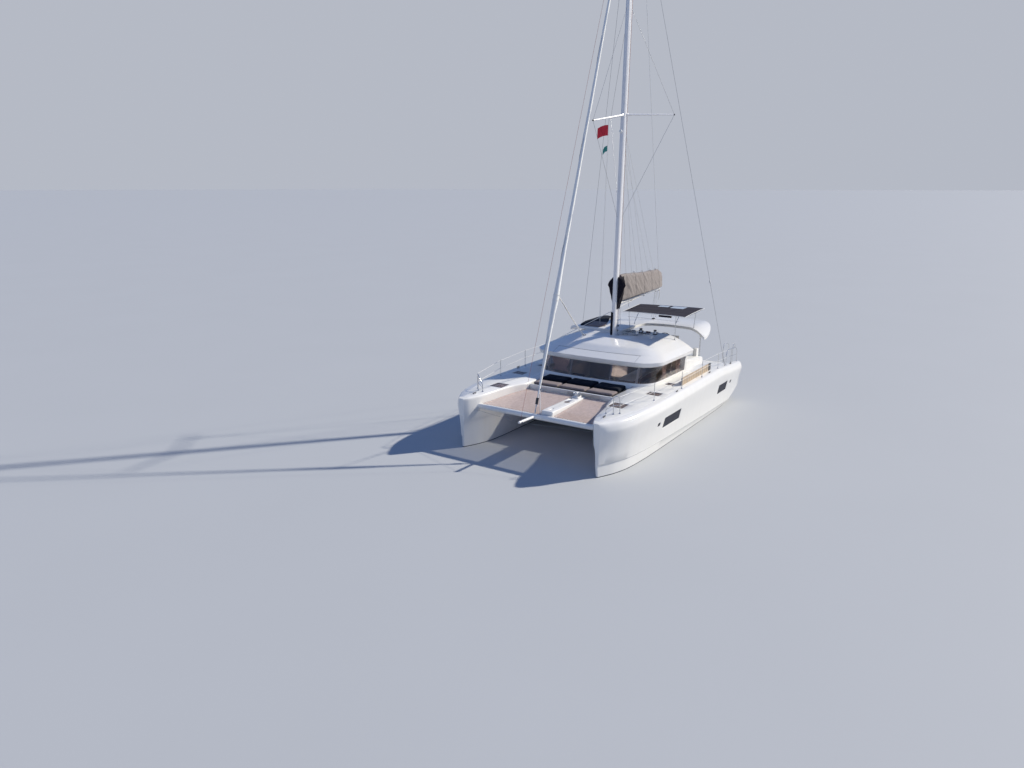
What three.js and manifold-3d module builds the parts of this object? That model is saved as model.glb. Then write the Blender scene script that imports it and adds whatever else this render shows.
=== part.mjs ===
// A cruising sailing catamaran, afloat at anchor with its sails stowed.
// Millimetres. X is to port, Y is aft, Z is up, and the waterline is z = 0 amidships.
import * as THREE from 'three';
import { mergeVertices } from 'three/addons/utils/BufferGeometryUtils.js';
import Module from 'manifold-3d';

const wasm = await Module();
wasm.setup();

// Driving dimensions
const GAP = 0.3; // between pieces that touch
const SIDES = { port: 1, starboard: -1 };
const DECK_Z = 2030;
const HULL_INNER_X = 1850; // where each hull's side meets the bridgedeck
const BRIDGE = { front: -3160, back: 5600, under: 800, floor: 1250, frontTop: 1950 };
const SILL_Z = 2150;
const WINDOW_TOP_Z = 2760;
const LIP_Z = 2840; // lower edge of the coachroof's visor
const ROOF_Z = 3540; // the flat that carries the mast
const HOUSE_BACK_Y = 2000;
const MAST = { y: 475, foot: ROOF_Z, head: 21900, rake: 0.029, deep: 330, wide: 200 };
const HOUNDS_Z = 21000;
const SPREADER_Z = 12340;
const GOOSENECK = { y: 830, z: 4850 };
const BOOM = { length: 4300, rise: 130, deep: 250, wide: 170 };
const HARDTOP = { edgeX: 2980, flatX: 2100, under: ROOF_Z + GAP, thick: 110, droop: 370 };
const BIMINI = { z: 4480, thick: 45 };
const STAY_FOOT = new THREE.Vector3(0, -5720, 1670);
const HELM = { x: 1500, floor: 2350, wheelY: 2420, wheelZ: 3130, wheelR: 380 };

const COLOURS = {
  gelcoat: [0xe9e8e4, 0.25, 0],
  antifoul: [0x2b3440, 0.8, 0],
  glass: [0x1c1a1d, 0.08, 0],
  alloy: [0xc9cccd, 0.35, 0.8],
  steel: [0xb9bcbe, 0.25, 1],
  bronze: [0x9a7b4f, 0.35, 1],
  canvas: [0x6f655d, 0.95, 0],
  canopy: [0x2d2731, 0.9, 0],
  netting: [0x9d8d83, 0.95, 0],
  sailcloth: [0xf0efec, 0.8, 0],
  wood: [0xb89f7f, 0.7, 0],
  plastic: [0x202225, 0.6, 0],
};

// A closed geometry as a solid with its faces outward.
function solid(geometry) {
  const bare = geometry.index ? geometry.toNonIndexed() : geometry.clone();
  for (const name of Object.keys(bare.attributes)) {
    if (name !== 'position') bare.deleteAttribute(name);
  }
  const merged = mergeVertices(bare, 1e-3);
  const triVerts = new Uint32Array(merged.index.array);
  const mesh = { numProp: 3, vertProperties: merged.attributes.position.array, triVerts };
  const made = new wasm.Manifold(new wasm.Mesh(mesh));
  if (made.volume() > 0) return made;
  for (let i = 0; i < triVerts.length; i += 3) {
    [triVerts[i + 1], triVerts[i + 2]] = [triVerts[i + 2], triVerts[i + 1]];
  }
  return new wasm.Manifold(new wasm.Mesh(mesh));
}

function geometryOf(made) {
  const mesh = made.getMesh();
  const positions = new Float32Array(mesh.numVert * 3);
  for (let i = 0; i < mesh.numVert; i++) {
    const start = i * mesh.numProp;
    positions.set(mesh.vertProperties.subarray(start, start + 3), i * 3);
  }
  const geometry = new THREE.BufferGeometry();
  geometry.setAttribute('position', new THREE.BufferAttribute(positions, 3));
  geometry.setIndex(new THREE.BufferAttribute(new Uint32Array(mesh.triVerts), 1));
  return geometry;
}

function joined(...geometries) {
  return geometries.map(solid).reduce((all, one) => all.add(one));
}

function box(x0, x1, y0, y1, z0, z1) {
  const geometry = new THREE.BoxGeometry(x1 - x0, y1 - y0, z1 - z0);
  return geometry.translate((x0 + x1) / 2, (y0 + y1) / 2, (z0 + z1) / 2);
}

// A box on one hull's side: x is measured out from the centre line.
function sideBox(side, x0, x1, ...rest) {
  return box(Math.min(side * x0, side * x1), Math.max(side * x0, side * x1), ...rest);
}

function vector([x, y, z]) {
  return new THREE.Vector3(x, y, z);
}

// A straight round bar between two points, thinner or thicker at its far end if asked.
function rod(from, to, radius, sides = 8, endRadius = radius) {
  const a = vector(from);
  const along = vector(to).sub(a);
  const geometry = new THREE.CylinderGeometry(endRadius, radius, along.length(), sides);
  geometry.translate(0, along.length() / 2, 0);
  const up = new THREE.Vector3(0, 1, 0);
  geometry.applyQuaternion(new THREE.Quaternion().setFromUnitVectors(up, along.normalize()));
  return geometry.translate(a.x, a.y, a.z);
}

function ball(at, radius, sides = 8) {
  return new THREE.SphereGeometry(radius, sides, Math.max(4, sides / 2)).translate(...at);
}

// A bent tube: bars between the points, with a ball in each bend.
function tube(points, radius, sides = 8) {
  const bars = points.slice(1).map((p, i) => rod(points[i], p, radius, sides));
  const bends = points.slice(1, -1).map((p) => ball(p, radius * 1.02, sides));
  return joined(...bars, ...bends);
}

// An outline of [x, y] points given a thickness from z0 to z1.
function slab(outline, z0, z1) {
  const shape = new THREE.Shape(outline.map(([x, y]) => new THREE.Vector2(x, y)));
  const geometry = new THREE.ExtrudeGeometry(shape, { depth: z1 - z0, bevelEnabled: false });
  return geometry.translate(0, 0, z0);
}

// An outline of [y, z] points given a thickness from x0 to x1.
function profile(outline, x0, x1) {
  const shape = new THREE.Shape(outline.map(([y, z]) => new THREE.Vector2(y, z)));
  const geometry = new THREE.ExtrudeGeometry(shape, { depth: x1 - x0, bevelEnabled: false });
  const turn = new THREE.Matrix4().set(0, 0, 1, x0, 1, 0, 0, 0, 0, 1, 0, 0, 0, 0, 0, 1);
  return geometry.applyMatrix4(turn);
}

// A skin over closed rings of equal length, ending in two flat caps.
// flatten gives a ring point's place in the caps' plane, right-handed about the rings' direction.
function loft(rings, flatten) {
  const flat = rings[0].map(flatten);
  const ordered = THREE.ShapeUtils.area(flat) < 0 ? rings.map((r) => [...r].reverse()) : rings;
  const count = flat.length;
  const faces = [];
  for (let r = 0; r + 1 < ordered.length; r++) {
    for (let i = 0; i < count; i++) {
      const [a, b] = [r * count + i, r * count + ((i + 1) % count)];
      faces.push(a, b, b + count, a, b + count, a + count);
    }
  }
  const last = (ordered.length - 1) * count;
  for (const [a, b, c] of THREE.ShapeUtils.triangulateShape(ordered[0].map(flatten), [])) {
    faces.push(a, c, b);
  }
  for (const [a, b, c] of THREE.ShapeUtils.triangulateShape(ordered.at(-1).map(flatten), [])) {
    faces.push(last + a, last + b, last + c);
  }
  const geometry = new THREE.BufferGeometry();
  const positions = new Float32Array(ordered.flat(2));
  geometry.setAttribute('position', new THREE.BufferAttribute(positions, 3));
  geometry.setIndex(faces);
  return geometry;
}

const alongY = ([x, , z]) => new THREE.Vector2(z, x);
const alongZ = ([x, y]) => new THREE.Vector2(x, y);

// The piece with what its neighbour takes, and the gap to it, cut away.
function cutBy(piece, neighbour, shift) {
  return piece.subtract(solid(neighbour.clone().translate(...shift)));
}

const boat = new THREE.Group();

function add(name, shape, finish) {
  const [color, roughness, metalness] = COLOURS[finish];
  const geometry = shape.isBufferGeometry ? shape : geometryOf(shape);
  const material = new THREE.MeshStandardMaterial({ color, roughness, metalness });
  const mesh = new THREE.Mesh(geometry, material);
  mesh.name = name;
  boat.add(mesh);
  return mesh;
}

// Hulls
// Sections from stem to stern: y, keelZ, bilgeZ, then the port hull's X at the waterline inside and
// outside, at the chine and the topside outside, at the deck's inner edge, and the deck's height.
const HULL_SECTIONS = [
  [-6400, -200, 0, 2815, 2885, 2895, 2975, 2740, 1940],
  [-6200, -330, 0, 2740, 2970, 2985, 3160, 2600, 1950],
  [-5600, -430, 0, 2540, 3190, 3220, 3490, 2400, 1975],
  [-4900, -520, 0, 2395, 3355, 3410, 3680, 2290, 2005],
  [-4000, -580, 0, 2360, 3430, 3500, 3780, 2110, DECK_Z],
  [-3160, -620, 0, 2360, 3460, 3535, 3820, HULL_INNER_X, DECK_Z],
  [0, -650, 0, 2375, 3480, 3580, 3840, HULL_INNER_X, DECK_Z],
  [3000, -470, 0, 2380, 3480, 3590, 3840, HULL_INNER_X, DECK_Z],
  [4700, -150, 30, 2400, 3470, 3590, 3830, HULL_INNER_X, 1930],
  [5600, 90, 220, 2420, 3460, 3580, 3795, HULL_INNER_X, 1860],
  [6400, 330, 480, 2440, 3440, 3560, 3730, HULL_INNER_X, 1790],
];
const STEM_SLOPE = 0.06;
const STERN_WING = { inner: 3470, floors: [[5200, 1490], [5520, 1190], [5820, 890], [6100, 590]] };

// A section between two of the table's, by a smooth curve that never overshoots them.
function sectionAt(y) {
  const last = HULL_SECTIONS.length - 1;
  const next = Math.min(last, Math.max(1, HULL_SECTIONS.findIndex((row) => row[0] >= y)));
  const [p, q] = [HULL_SECTIONS[next - 1], HULL_SECTIONS[next]];
  const span = q[0] - p[0];
  const t = (y - p[0]) / span;
  const [t2, t3] = [t * t, t * t * t];
  const steep = (row, column) => {
    const [before, at, after] = [row - 1, row, row + 1].map((r) => HULL_SECTIONS[r]);
    if (!before || !after) return (q[column] - p[column]) / span;
    const [left, right] = [at, after].map((end, i) => {
      const start = i ? at : before;
      return (end[column] - start[column]) / (end[0] - start[0]);
    });
    return left * right > 0 ? (2 * left * right) / (left + right) : 0;
  };
  return p.map((_, column) => {
    const along = (t3 - 2 * t2 + t) * span * steep(next - 1, column) + (t3 - t2) * span * steep(next, column);
    return (2 * t3 - 3 * t2 + 1) * p[column] + along + (3 * t2 - 2 * t3) * q[column];
  });
}

function hullRing(y, side) {
  const [, keelZ, bilgeZ, inWater, outWater, chine, out, inn, deckZ] = sectionAt(y);
  const middle = (inWater + outWater) / 2;
  const bow = THREE.MathUtils.clamp((-5600 - y) / 800, 0, 1);
  const chineZ = Math.max(bilgeZ + 140, THREE.MathUtils.mapLinear(y, -6400, 6400, 480, 200));
  const innerKnee = inn + Math.max(0, (inWater - inn) * 0.25) * (1 - bow);
  const round = Math.min(1, (out - inn) / 700);
  const under = y > BRIDGE.front ? BRIDGE.under - 20 : 1150;
  const bilge = (x, a) => [middle + (x - middle) * Math.sin(a), keelZ + (bilgeZ - keelZ) * (1 - Math.cos(a))];
  const shoulderZ = deckZ - 330;
  const topside = [[0.3, 0.4], [0.66, 0.72], [1, 1]];
  const quarters = [0.3, 0.65, 1].map((share) => (share * Math.PI) / 2);
  const points = [
    [middle, keelZ],
    ...quarters.map((a) => bilge(outWater, a)),
    [chine - 25, chineZ - 40],
    [chine + 10, chineZ],
    ...topside.map(([share, up]) => [chine + (out - chine) * share, chineZ + (shoulderZ - chineZ) * up]),
    [out - 10 * round, deckZ - 230],
    [out - 45 * round, deckZ - 115],
    [out - 105 * round, deckZ - 30],
    [out - 170 * round, deckZ],
    [inn + 60 * round, deckZ],
    [inn + 15 * round, deckZ - 25],
    [inn, deckZ - 80],
    [innerKnee, under],
    [innerKnee + (inWater - innerKnee) * 0.6, under - 180],
    [inWater - 20, Math.max(bilgeZ + 120, 300)],
    ...quarters.slice().reverse().map((a) => bilge(inWater, a)),
  ];
  const slope = bow * STEM_SLOPE;
  return points.map(([x, z]) => [side * x, y + slope * (deckZ - z), z]);
}

const hullStations = [
  -6400, -6320, -6200, -6000, -5600, -5200, -4900, -4450, -4000, -3580, -3159.9, -2000, -1000, 0,
  1000, 2000, 3000, 3600, 4200, 4700, 5150, 5600, 6000, 6400,
];

function hullSkin(side) {
  return loft(hullStations.map((y) => hullRing(y, side)), alongY);
}

// Flush deck hatches: hull side, name, centre x and y, width and length of the lid.
const HATCHES = [
  ['fore', 2580, -4230, 560, 560],
  ['mid', 3020, -2080, 520, 440],
  ['aft', 2960, -360, 330, 330],
];
const LID = { thick: 28, recess: 34, gap: 6 };

// Windows set flush in the hull's outer side: y0, y1, z0, z1.
const HULL_WINDOWS = [
  [-3180, -2960, 1120, 1260],
  [-2620, -1060, 930, 1340],
  [3260, 4350, 890, 1300],
  [4720, 4900, 1090, 1230],
];

function hull(side) {
  let made = solid(hullSkin(side));
  for (const [, x, y, wide, long] of HATCHES) {
    const [halfX, halfY] = [wide / 2 + LID.gap, long / 2 + LID.gap];
    const pocket = sideBox(side, x - halfX, x + halfX, y - halfY, y + halfY, 1900, 2100);
    made = made.subtract(solid(pocket).subtract(solid(box(-9e3, 9e3, -9e3, 9e3, 0, DECK_Z - LID.recess))));
  }
  for (const [y0, y1, z0, z1] of HULL_WINDOWS) {
    const cut = solid(sideBox(side, 3400, 4000, y0, y1, z0, z1));
    made = made.subtract(cutBy(cut, hullSkin(side), [-side * 14, 0, 0]));
  }
  const floors = STERN_WING.floors;
  const stairs = [[floors[0][0], 2400]];
  floors.forEach(([y, z], i) => stairs.push([y, z], [i + 1 < floors.length ? floors[i + 1][0] : 6600, z]));
  stairs.push([6600, 2400]);
  const cutX = [side * (HULL_INNER_X - 100), side * STERN_WING.inner].sort((a, b) => a - b);
  return made.subtract(solid(profile(stairs, ...cutX)));
}

// Coaming beside the cockpit on each side deck. Rows: y, outer X, top z.
const COAMING = { innerX: 1860, rows: [[2003, 2640, 2480], [3300, 2570, 2360], [4480, 2520, 2210], [4620, 2480, 2060]] };

function coaming(side) {
  const ring = ([y, outer, top]) => {
    const [x0, z0] = [COAMING.innerX, DECK_Z - 140];
    const port = [[x0, z0], [outer, z0], [outer - 20, top - 60], [outer - 90, top], [x0 + 60, top], [x0, top - 40]];
    return port.map(([x, z]) => [side * x, y, z]);
  };
  return solid(loft(COAMING.rows.map(ring), alongY));
}

const hulls = { port: hull(1).add(coaming(1)), starboard: hull(-1).add(coaming(-1)) };
hulls.port = hulls.port.add(solid(box(2150, 2330, 4150, 4400, 2000, 2600)));
for (const name of Object.keys(SIDES)) add('hull_' + name, hulls[name], 'gelcoat');

// Low-aspect keel under each hull, a fin with a rounded nose and a thin tail.
const KEEL = { x: 2925, top: -560, foot: -1250, nose: -1750, tail: 1250, half: 150 };

function finRing(x, nose, tail, half, z) {
  const chord = tail - nose;
  const shares = [0, 0.04, 0.15, 0.35, 0.7, 1];
  const thick = [0, 0.5, 0.85, 1, 0.55, 0.04];
  const outside = shares.map((s, i) => [x + half * thick[i], nose + chord * s, z]);
  const inside = shares.slice(1).map((s, i) => [x - half * thick[i + 1], nose + chord * s, z]);
  return [...outside, ...inside.reverse()];
}

for (const [name, side] of Object.entries(SIDES)) {
  const [x, z] = [side * KEEL.x, KEEL.foot];
  const fin = loft(
    [
      finRing(x, KEEL.nose + 250, KEEL.tail - 150, KEEL.half * 0.7, z),
      finRing(x, KEEL.nose + 160, KEEL.tail - 100, KEEL.half, z + 90),
      finRing(x, KEEL.nose, KEEL.tail, KEEL.half, KEEL.top + 100),
    ],
    alongZ,
  );
  add('keel_' + name, cutBy(solid(fin), hullSkin(side), [0, 0, -GAP]), 'antifoul');
}

// Rudders on vertical stocks, and the sail-drive legs with their two-bladed propellers ahead.
const RUDDER = { x: 2930, y: 4720, top: -215, foot: -1130, ahead: 130, chord: 520, half: 42 };
const DRIVE = { x: 2925, y: 3300, shaftZ: -760, podR: 75, podBack: 230 };
const PROPELLER = { y: 3560, r: 220, hubR: 55, hubLength: 130 };

for (const [name, side] of Object.entries(SIDES)) {
  const x = side * RUDDER.x;
  const [nose, tail] = [RUDDER.y - RUDDER.ahead, RUDDER.y + RUDDER.chord - RUDDER.ahead];
  const blade = loft(
    [
      finRing(x, nose + 50, tail - 110, RUDDER.half * 0.6, RUDDER.foot),
      finRing(x, nose, tail - 60, RUDDER.half, RUDDER.foot + 120),
      finRing(x, nose, tail, RUDDER.half, RUDDER.top),
    ],
    alongZ,
  );
  const stockAt = (top) => solid(rod([x, RUDDER.y, RUDDER.top - 200], [x, RUDDER.y, top], 30, 16));
  const stockTop = stockAt(100).intersect(hulls[name]).boundingBox().min[2] - GAP;
  add('rudder_' + name, solid(blade).add(stockAt(stockTop)), 'antifoul');

  const leg = loft(
    [
      finRing(side * DRIVE.x, DRIVE.y - 110, DRIVE.y + 130, 38, DRIVE.shaftZ),
      finRing(side * DRIVE.x, DRIVE.y - 160, DRIVE.y + 170, 55, -300),
    ],
    alongZ,
  );
  const podFrom = [side * DRIVE.x, DRIVE.y - 190, DRIVE.shaftZ];
  const podTo = [side * DRIVE.x, DRIVE.y + DRIVE.podBack - 50, DRIVE.shaftZ];
  const pod = rod(podFrom, podTo, DRIVE.podR * 0.5, 12, DRIVE.podR);
  const fin = sideBox(side, DRIVE.x - 14, DRIVE.x + 14, DRIVE.y - 60, DRIVE.y + 120, -930, DRIVE.shaftZ);
  const drive = solid(leg).add(joined(pod, fin));
  add('saildrive_' + name, cutBy(drive, hullSkin(side), [0, 0, -GAP]), 'plastic');

  const hubFrom = [side * DRIVE.x, DRIVE.y + DRIVE.podBack - 50 + GAP, DRIVE.shaftZ];
  const hubTo = [side * DRIVE.x, PROPELLER.y + PROPELLER.hubLength / 2, DRIVE.shaftZ];
  const blades = [0, 1, 2].map((i) => {
    const one = new THREE.CylinderGeometry(1, 1, 16, 14).scale(78, 1, 115).rotateZ(0.45);
    one.translate(0, 0, PROPELLER.r - 115).rotateY((i * 2 * Math.PI) / 3);
    return one.translate(side * DRIVE.x, PROPELLER.y, DRIVE.shaftZ);
  });
  const hub = rod(hubFrom, hubTo, PROPELLER.hubR, 14, PROPELLER.hubR * 0.6);
  add('propeller_' + name, joined(hub, ...blades), 'bronze');
}

// Bridgedeck between the hulls, with the forward lounge's coaming, the cockpit and its coaming.
const innerX = HULL_INNER_X - GAP;
const LOUNGE = { floor: 1560, back: -1760, coaming: 90, sill: 270 };
const COCKPIT = { back: 5480, coamingZ: 1850 };
const bridgeOutline = [
  [BRIDGE.front, BRIDGE.under + 260],
  [BRIDGE.front, BRIDGE.frontTop],
  [BRIDGE.front + LOUNGE.coaming, BRIDGE.frontTop],
  [BRIDGE.front + LOUNGE.coaming, LOUNGE.floor],
  [LOUNGE.back, LOUNGE.floor],
  [LOUNGE.back, DECK_Z],
  [LOUNGE.back + LOUNGE.sill, DECK_Z],
  [LOUNGE.back + LOUNGE.sill, BRIDGE.floor],
  [COCKPIT.back, BRIDGE.floor],
  [COCKPIT.back, COCKPIT.coamingZ],
  [BRIDGE.back, COCKPIT.coamingZ],
  [BRIDGE.back, BRIDGE.under + 200],
  [BRIDGE.back - 200, BRIDGE.under],
  [BRIDGE.front + 500, BRIDGE.under],
];
add('bridgedeck', profile(bridgeOutline, -innerX, innerX), 'gelcoat');

// Deckhouse
// A plan outline with a bowed front, elliptical corners and straight sides, from starboard aft round
// the front to port aft. The side widens from sideX at the corner to backX at the aft end.
function houseOutline({ front, bowed, flatX, cornerY, sideX, backX, back }, inset, z) {
  const half = [];
  const flats = [0, 0.35, 0.7, 1];
  for (const s of flats) half.push([flatX * s, front + inset + bowed * s * s]);
  for (const a of [0.25, 0.5, 0.75, 1]) {
    const turn = (a * Math.PI) / 2;
    const x = flatX + (sideX - inset - flatX) * Math.sin(turn);
    half.push([x, front + inset + bowed + cornerY * (1 - Math.cos(turn))]);
  }
  half.push([(sideX + backX) / 2 - inset, (front + back) / 2 + 400], [backX - inset, back]);
  const port = half.map(([x, y]) => [x, y, z]);
  const starboard = half.slice(1).reverse().map(([x, y]) => [-x, y, z]);
  return [...starboard, ...port];
}

const WALL = { thick: 50, glass: 14, rebate: 22 };
const wallFoot = { front: -1700, bowed: 130, flatX: 1850, cornerY: 950, sideX: 2600, backX: 2680, back: HOUSE_BACK_Y };
const wallHead = { ...wallFoot, front: -1430, flatX: 1900, cornerY: 900, sideX: 2620, backX: 2720 };

function wallSolid(inset, z0 = DECK_Z + GAP, z1 = LIP_Z - GAP, back = HOUSE_BACK_Y) {
  const at = (z) => {
    const share = (z - DECK_Z) / (LIP_Z - DECK_Z);
    const keys = Object.keys(wallFoot);
    return Object.fromEntries(keys.map((k) => [k, wallFoot[k] + (wallHead[k] - wallFoot[k]) * share]));
  };
  const rings = [z0, z1].map((z) => houseOutline({ ...at(z), back }, inset, z));
  return solid(loft(rings, alongZ));
}

const GLASS_BACK_Y = 1800;
const cornerX = 2010;
const bandCut = solid(box(-3000, 3000, -3000, GLASS_BACK_Y, SILL_Z, WINDOW_TOP_Z));
const mullions = [
  box(-930, -870, -3000, 0, SILL_Z - 9, WINDOW_TOP_Z + 9),
  box(870, 930, -3000, 0, SILL_Z - 9, WINDOW_TOP_Z + 9),
  ...Object.values(SIDES).map((side) => sideBox(side, 1960, 2040, -3000, -600, SILL_Z - 9, WINDOW_TOP_Z + 9)),
  box(-3000, 3000, 420, 500, SILL_Z - 9, WINDOW_TOP_Z + 9),
];
const mullionSolids = mullions.map(solid).reduce((a, b) => a.add(b));
const wallRing = wallSolid(0).subtract(wallSolid(WALL.thick, DECK_Z - 50, LIP_Z + 50, HOUSE_BACK_Y + 50));
const rebate = bandCut.subtract(wallSolid(WALL.rebate, DECK_Z - 50, LIP_Z + 50, HOUSE_BACK_Y + 50));
const openings = bandCut.subtract(mullionSolids);
add('deckhouse_frame', wallRing.subtract(rebate).subtract(openings), 'gelcoat');

// Tinted panes in the rebate, one across the front and one round each corner and side.
const paneSkin = wallSolid(4).subtract(wallSolid(4 + WALL.glass, DECK_Z - 50, LIP_Z + 50, HOUSE_BACK_Y + 50));
const [paneZ0, paneZ1] = [SILL_Z + GAP, WINDOW_TOP_Z - GAP];
const frontPane = box(-cornerX + GAP, cornerX - GAP, -3000, -900, paneZ0, paneZ1);
add('window_front', paneSkin.intersect(solid(frontPane)), 'glass');
for (const [name, side] of Object.entries(SIDES)) {
  const pane = sideBox(side, cornerX + GAP, 3000, -3000, GLASS_BACK_Y - GAP, paneZ0, paneZ1);
  add('window_' + name, paneSkin.intersect(solid(pane)), 'glass');
}

// Coachroof: a visor that slopes up to a flat top. Rows: z, then the outline's sizes.
const ROOF_RINGS = [
  [LIP_Z, { front: -1570, bowed: 90, flatX: 1950, cornerY: 900, sideX: 2810, backX: 2900, back: 2080 }],
  [2915, { front: -1610, bowed: 90, flatX: 1950, cornerY: 920, sideX: 2840, backX: 2930, back: 2110 }],
  [3160, { front: -1190, bowed: 130, flatX: 1650, cornerY: 900, sideX: 2520, backX: 2660, back: 2130 }],
  [3350, { front: -880, bowed: 160, flatX: 1450, cornerY: 820, sideX: 2150, backX: 2280, back: 2130 }],
  [3450, { front: -480, bowed: 170, flatX: 1300, cornerY: 700, sideX: 1900, backX: 2050, back: 2120 }],
  [ROOF_Z, { front: 80, bowed: 100, flatX: 1100, cornerY: 500, sideX: 1600, backX: 1700, back: 2080 }],
];

function roofSkin() {
  return solid(loft(ROOF_RINGS.map(([z, sizes]) => houseOutline(sizes, 0, z)), alongZ));
}

// The room under the coachroof, open aft. Rows follow ROOF_RINGS: z and the wall's width there.
const CAVITY = [[LIP_Z - 5, 245], [2870, 260], [3100, 80], [3290, 70], [3390, 70], [3480, 70]];

function roofCavity(extra) {
  const back = HOUSE_BACK_Y + 300;
  const ring = ([z, inset], i) => houseOutline({ ...ROOF_RINGS[i][1], back }, inset + extra, z - extra);
  return solid(loft(CAVITY.map(ring), alongZ));
}

const LEG_FEET = { front: [[2200, 1800, 3400], [360, 1330, ROOF_Z + 15]] };
const pads = LEG_FEET.front.map(([x, y, z]) => rod([x, y, z - 130], [x, y, z], 55, 12));
const coachroof = roofSkin().add(joined(...pads)).subtract(roofCavity(0));
add('coachroof', coachroof, 'gelcoat');

// Aft bulkhead with its doorway, and the glazed sliding door on its outer face.
const BULKHEAD = { front: 1931, back: HOUSE_BACK_Y - 1 };
const DOORWAY = { x0: -850, x1: 50, z0: BRIDGE.floor + 40, z1: 3180 };
const DOOR = { y0: 2012, y1: 2052, overlap: 40, travel: 850 };
const room = solid(box(-innerX, innerX, 1900, 2100, BRIDGE.floor + GAP, DECK_Z + 50))
  .add(wallSolid(WALL.thick + GAP, DECK_Z + GAP, LIP_Z - GAP, HOUSE_BACK_Y + 300))
  .add(roofCavity(GAP));
const BULKHEAD_WINDOWS = [[-1750, -1000, 1950, 3000], [200, 780, 1950, 3000]];
const holes = BULKHEAD_WINDOWS.map(([x0, x1, z0, z1]) => box(x0, x1, 1800, 2100, z0, z1));
const doorHole = box(DOORWAY.x0, DOORWAY.x1, 1800, 2100, DOORWAY.z0, DOORWAY.z1);
const track = [-1800, 150, BULKHEAD.back - 20, DOOR.y1 + 20];
const bulkhead = solid(box(-2800, 2800, BULKHEAD.front, BULKHEAD.back, 1000, 3600))
  .intersect(room)
  .subtract(joined(doorHole, ...holes))
  .add(solid(box(...track, BRIDGE.floor + GAP, BRIDGE.floor + 30)))
  .add(solid(box(...track, DOORWAY.z1 + 46, DOORWAY.z1 + 86)));
add('aft_bulkhead', bulkhead, 'gelcoat');

BULKHEAD_WINDOWS.forEach(([x0, x1, z0, z1], i) => {
  const pane = box(x0 + GAP, x1 - GAP, BULKHEAD.front + 25, BULKHEAD.front + 37, z0 + GAP, z1 - GAP);
  add('bulkhead_window_' + (i ? 'port' : 'starboard'), pane, 'glass');
});

const [doorX0, doorX1] = [DOORWAY.x0 - DOOR.overlap, DOORWAY.x1 + DOOR.overlap];
const [doorZ0, doorZ1] = [BRIDGE.floor + 30 + GAP, DOORWAY.z1 + 46 - 5];
const doorFrame = solid(box(doorX0, doorX1, DOOR.y0, DOOR.y1, doorZ0, doorZ1));
add('sliding_door', doorFrame, 'glass');

// Cockpit hardtop: cambered down at both edges, open over the helm on the port side.
function hardtopTop(x) {
  const share = Math.max(0, (Math.abs(x) - HARDTOP.flatX) / (HARDTOP.edgeX - HARDTOP.flatX));
  return HARDTOP.under + HARDTOP.thick - HARDTOP.droop * share ** 2;
}

const hardtopOutline = [
  [-2000, 1150], [-2600, 1400], [-2860, 1900], [-2960, 3200], [-2850, 4200], [-2600, 5080],
  [-2200, 5520], [-1500, 5700], [0, 5750], [1500, 5700], [2200, 5520], [2600, 5080], [2850, 4200],
  [2960, 3400], [2900, 3260], [2600, 3420], [1600, 3650], [700, 3640], [230, 3450], [60, 3150],
  [30, 2700], [30, 1150],
];
const acrossX = Array.from({ length: 21 }, (_, i) => (i / 10 - 1) * HARDTOP.edgeX);
const crownTop = acrossX.map((x) => [x, 1000, hardtopTop(x)]);
const crownUnder = acrossX.slice().reverse().map((x) => [x, 1000, hardtopTop(x) - HARDTOP.thick]);
const crown = [...crownTop, ...crownUnder];
const crownSkin = loft([crown, crown.map(([x, , z]) => [x, 6000, z])], alongY);
const hardtopShape = geometryOf(solid(crownSkin).intersect(solid(slab(hardtopOutline, 3000, 4000))));
add('hardtop', hardtopShape, 'gelcoat');

// Two posts and the tube between them hold the hardtop's aft edge.
const POST = { x: 2360, y: 4450, r: 24 };
const postTop = hardtopTop(POST.x) - HARDTOP.thick;
const posts = Object.entries(SIDES).map(([name, side]) => {
  const bar = rod([side * POST.x, POST.y, 2100], [side * POST.x, POST.y, postTop + 30], POST.r, 12);
  return cutBy(solid(bar), geometryOf(hulls[name]), [0, 0, GAP]);
});
const crossTube = rod([-POST.x, POST.y, postTop - 90], [POST.x, POST.y, postTop - 90], 20, 12);
const hardtopFrame = posts[0].add(posts[1]).add(solid(crossTube));
add('hardtop_frame', cutBy(hardtopFrame, hardtopShape, [0, 0, -GAP]), 'steel');

// Helm station: a raised floor with steps, and a console against the coachroof.
const helmSteps = [[3360, 900], [3620, 600], [3880, 300]];
const helmFloor = box(620, innerX - GAP, 2100, 3360, BRIDGE.floor + GAP, HELM.floor);
const steps = helmSteps.map(([y, up]) => box(620, 1200, y - 5, y + 260, BRIDGE.floor + GAP, BRIDGE.floor + GAP + up));
const consoleOutline = [[2134, HELM.floor - 10], [2134, 3330], [2240, 3330], [2330, 3230], [2330, HELM.floor - 10]];
const helmConsole = profile(consoleOutline, 1000, 1840);
add('helm_station', joined(helmFloor, ...steps, helmConsole), 'gelcoat');

const seatOutline = [
  [2960, HELM.floor + GAP], [2960, 2900], [3260, 2900], [3260, 3290], [3340, 3290], [3340, HELM.floor + GAP],
];
add('helm_seat', profile(seatOutline, 900, innerX - GAP), 'canvas');

// Steering wheel on an axis along the boat.
const wheelHub = rod([HELM.x, 2330 + GAP, HELM.wheelZ], [HELM.x, HELM.wheelY + 20, HELM.wheelZ], 34, 14);
const rim = new THREE.TorusGeometry(HELM.wheelR - 14, 14, 8, 36).rotateX(Math.PI / 2);
rim.translate(HELM.x, HELM.wheelY, HELM.wheelZ);
const spokes = [0, 1, 2, 3, 4].map((i) => {
  const bar = rod([0, 0, 20], [0, 0, HELM.wheelR - 14], 9, 8).rotateY((i * 2 * Math.PI) / 5);
  return bar.translate(HELM.x, HELM.wheelY, HELM.wheelZ);
});
add('steering_wheel', joined(wheelHub, rim, ...spokes), 'steel');

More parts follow.
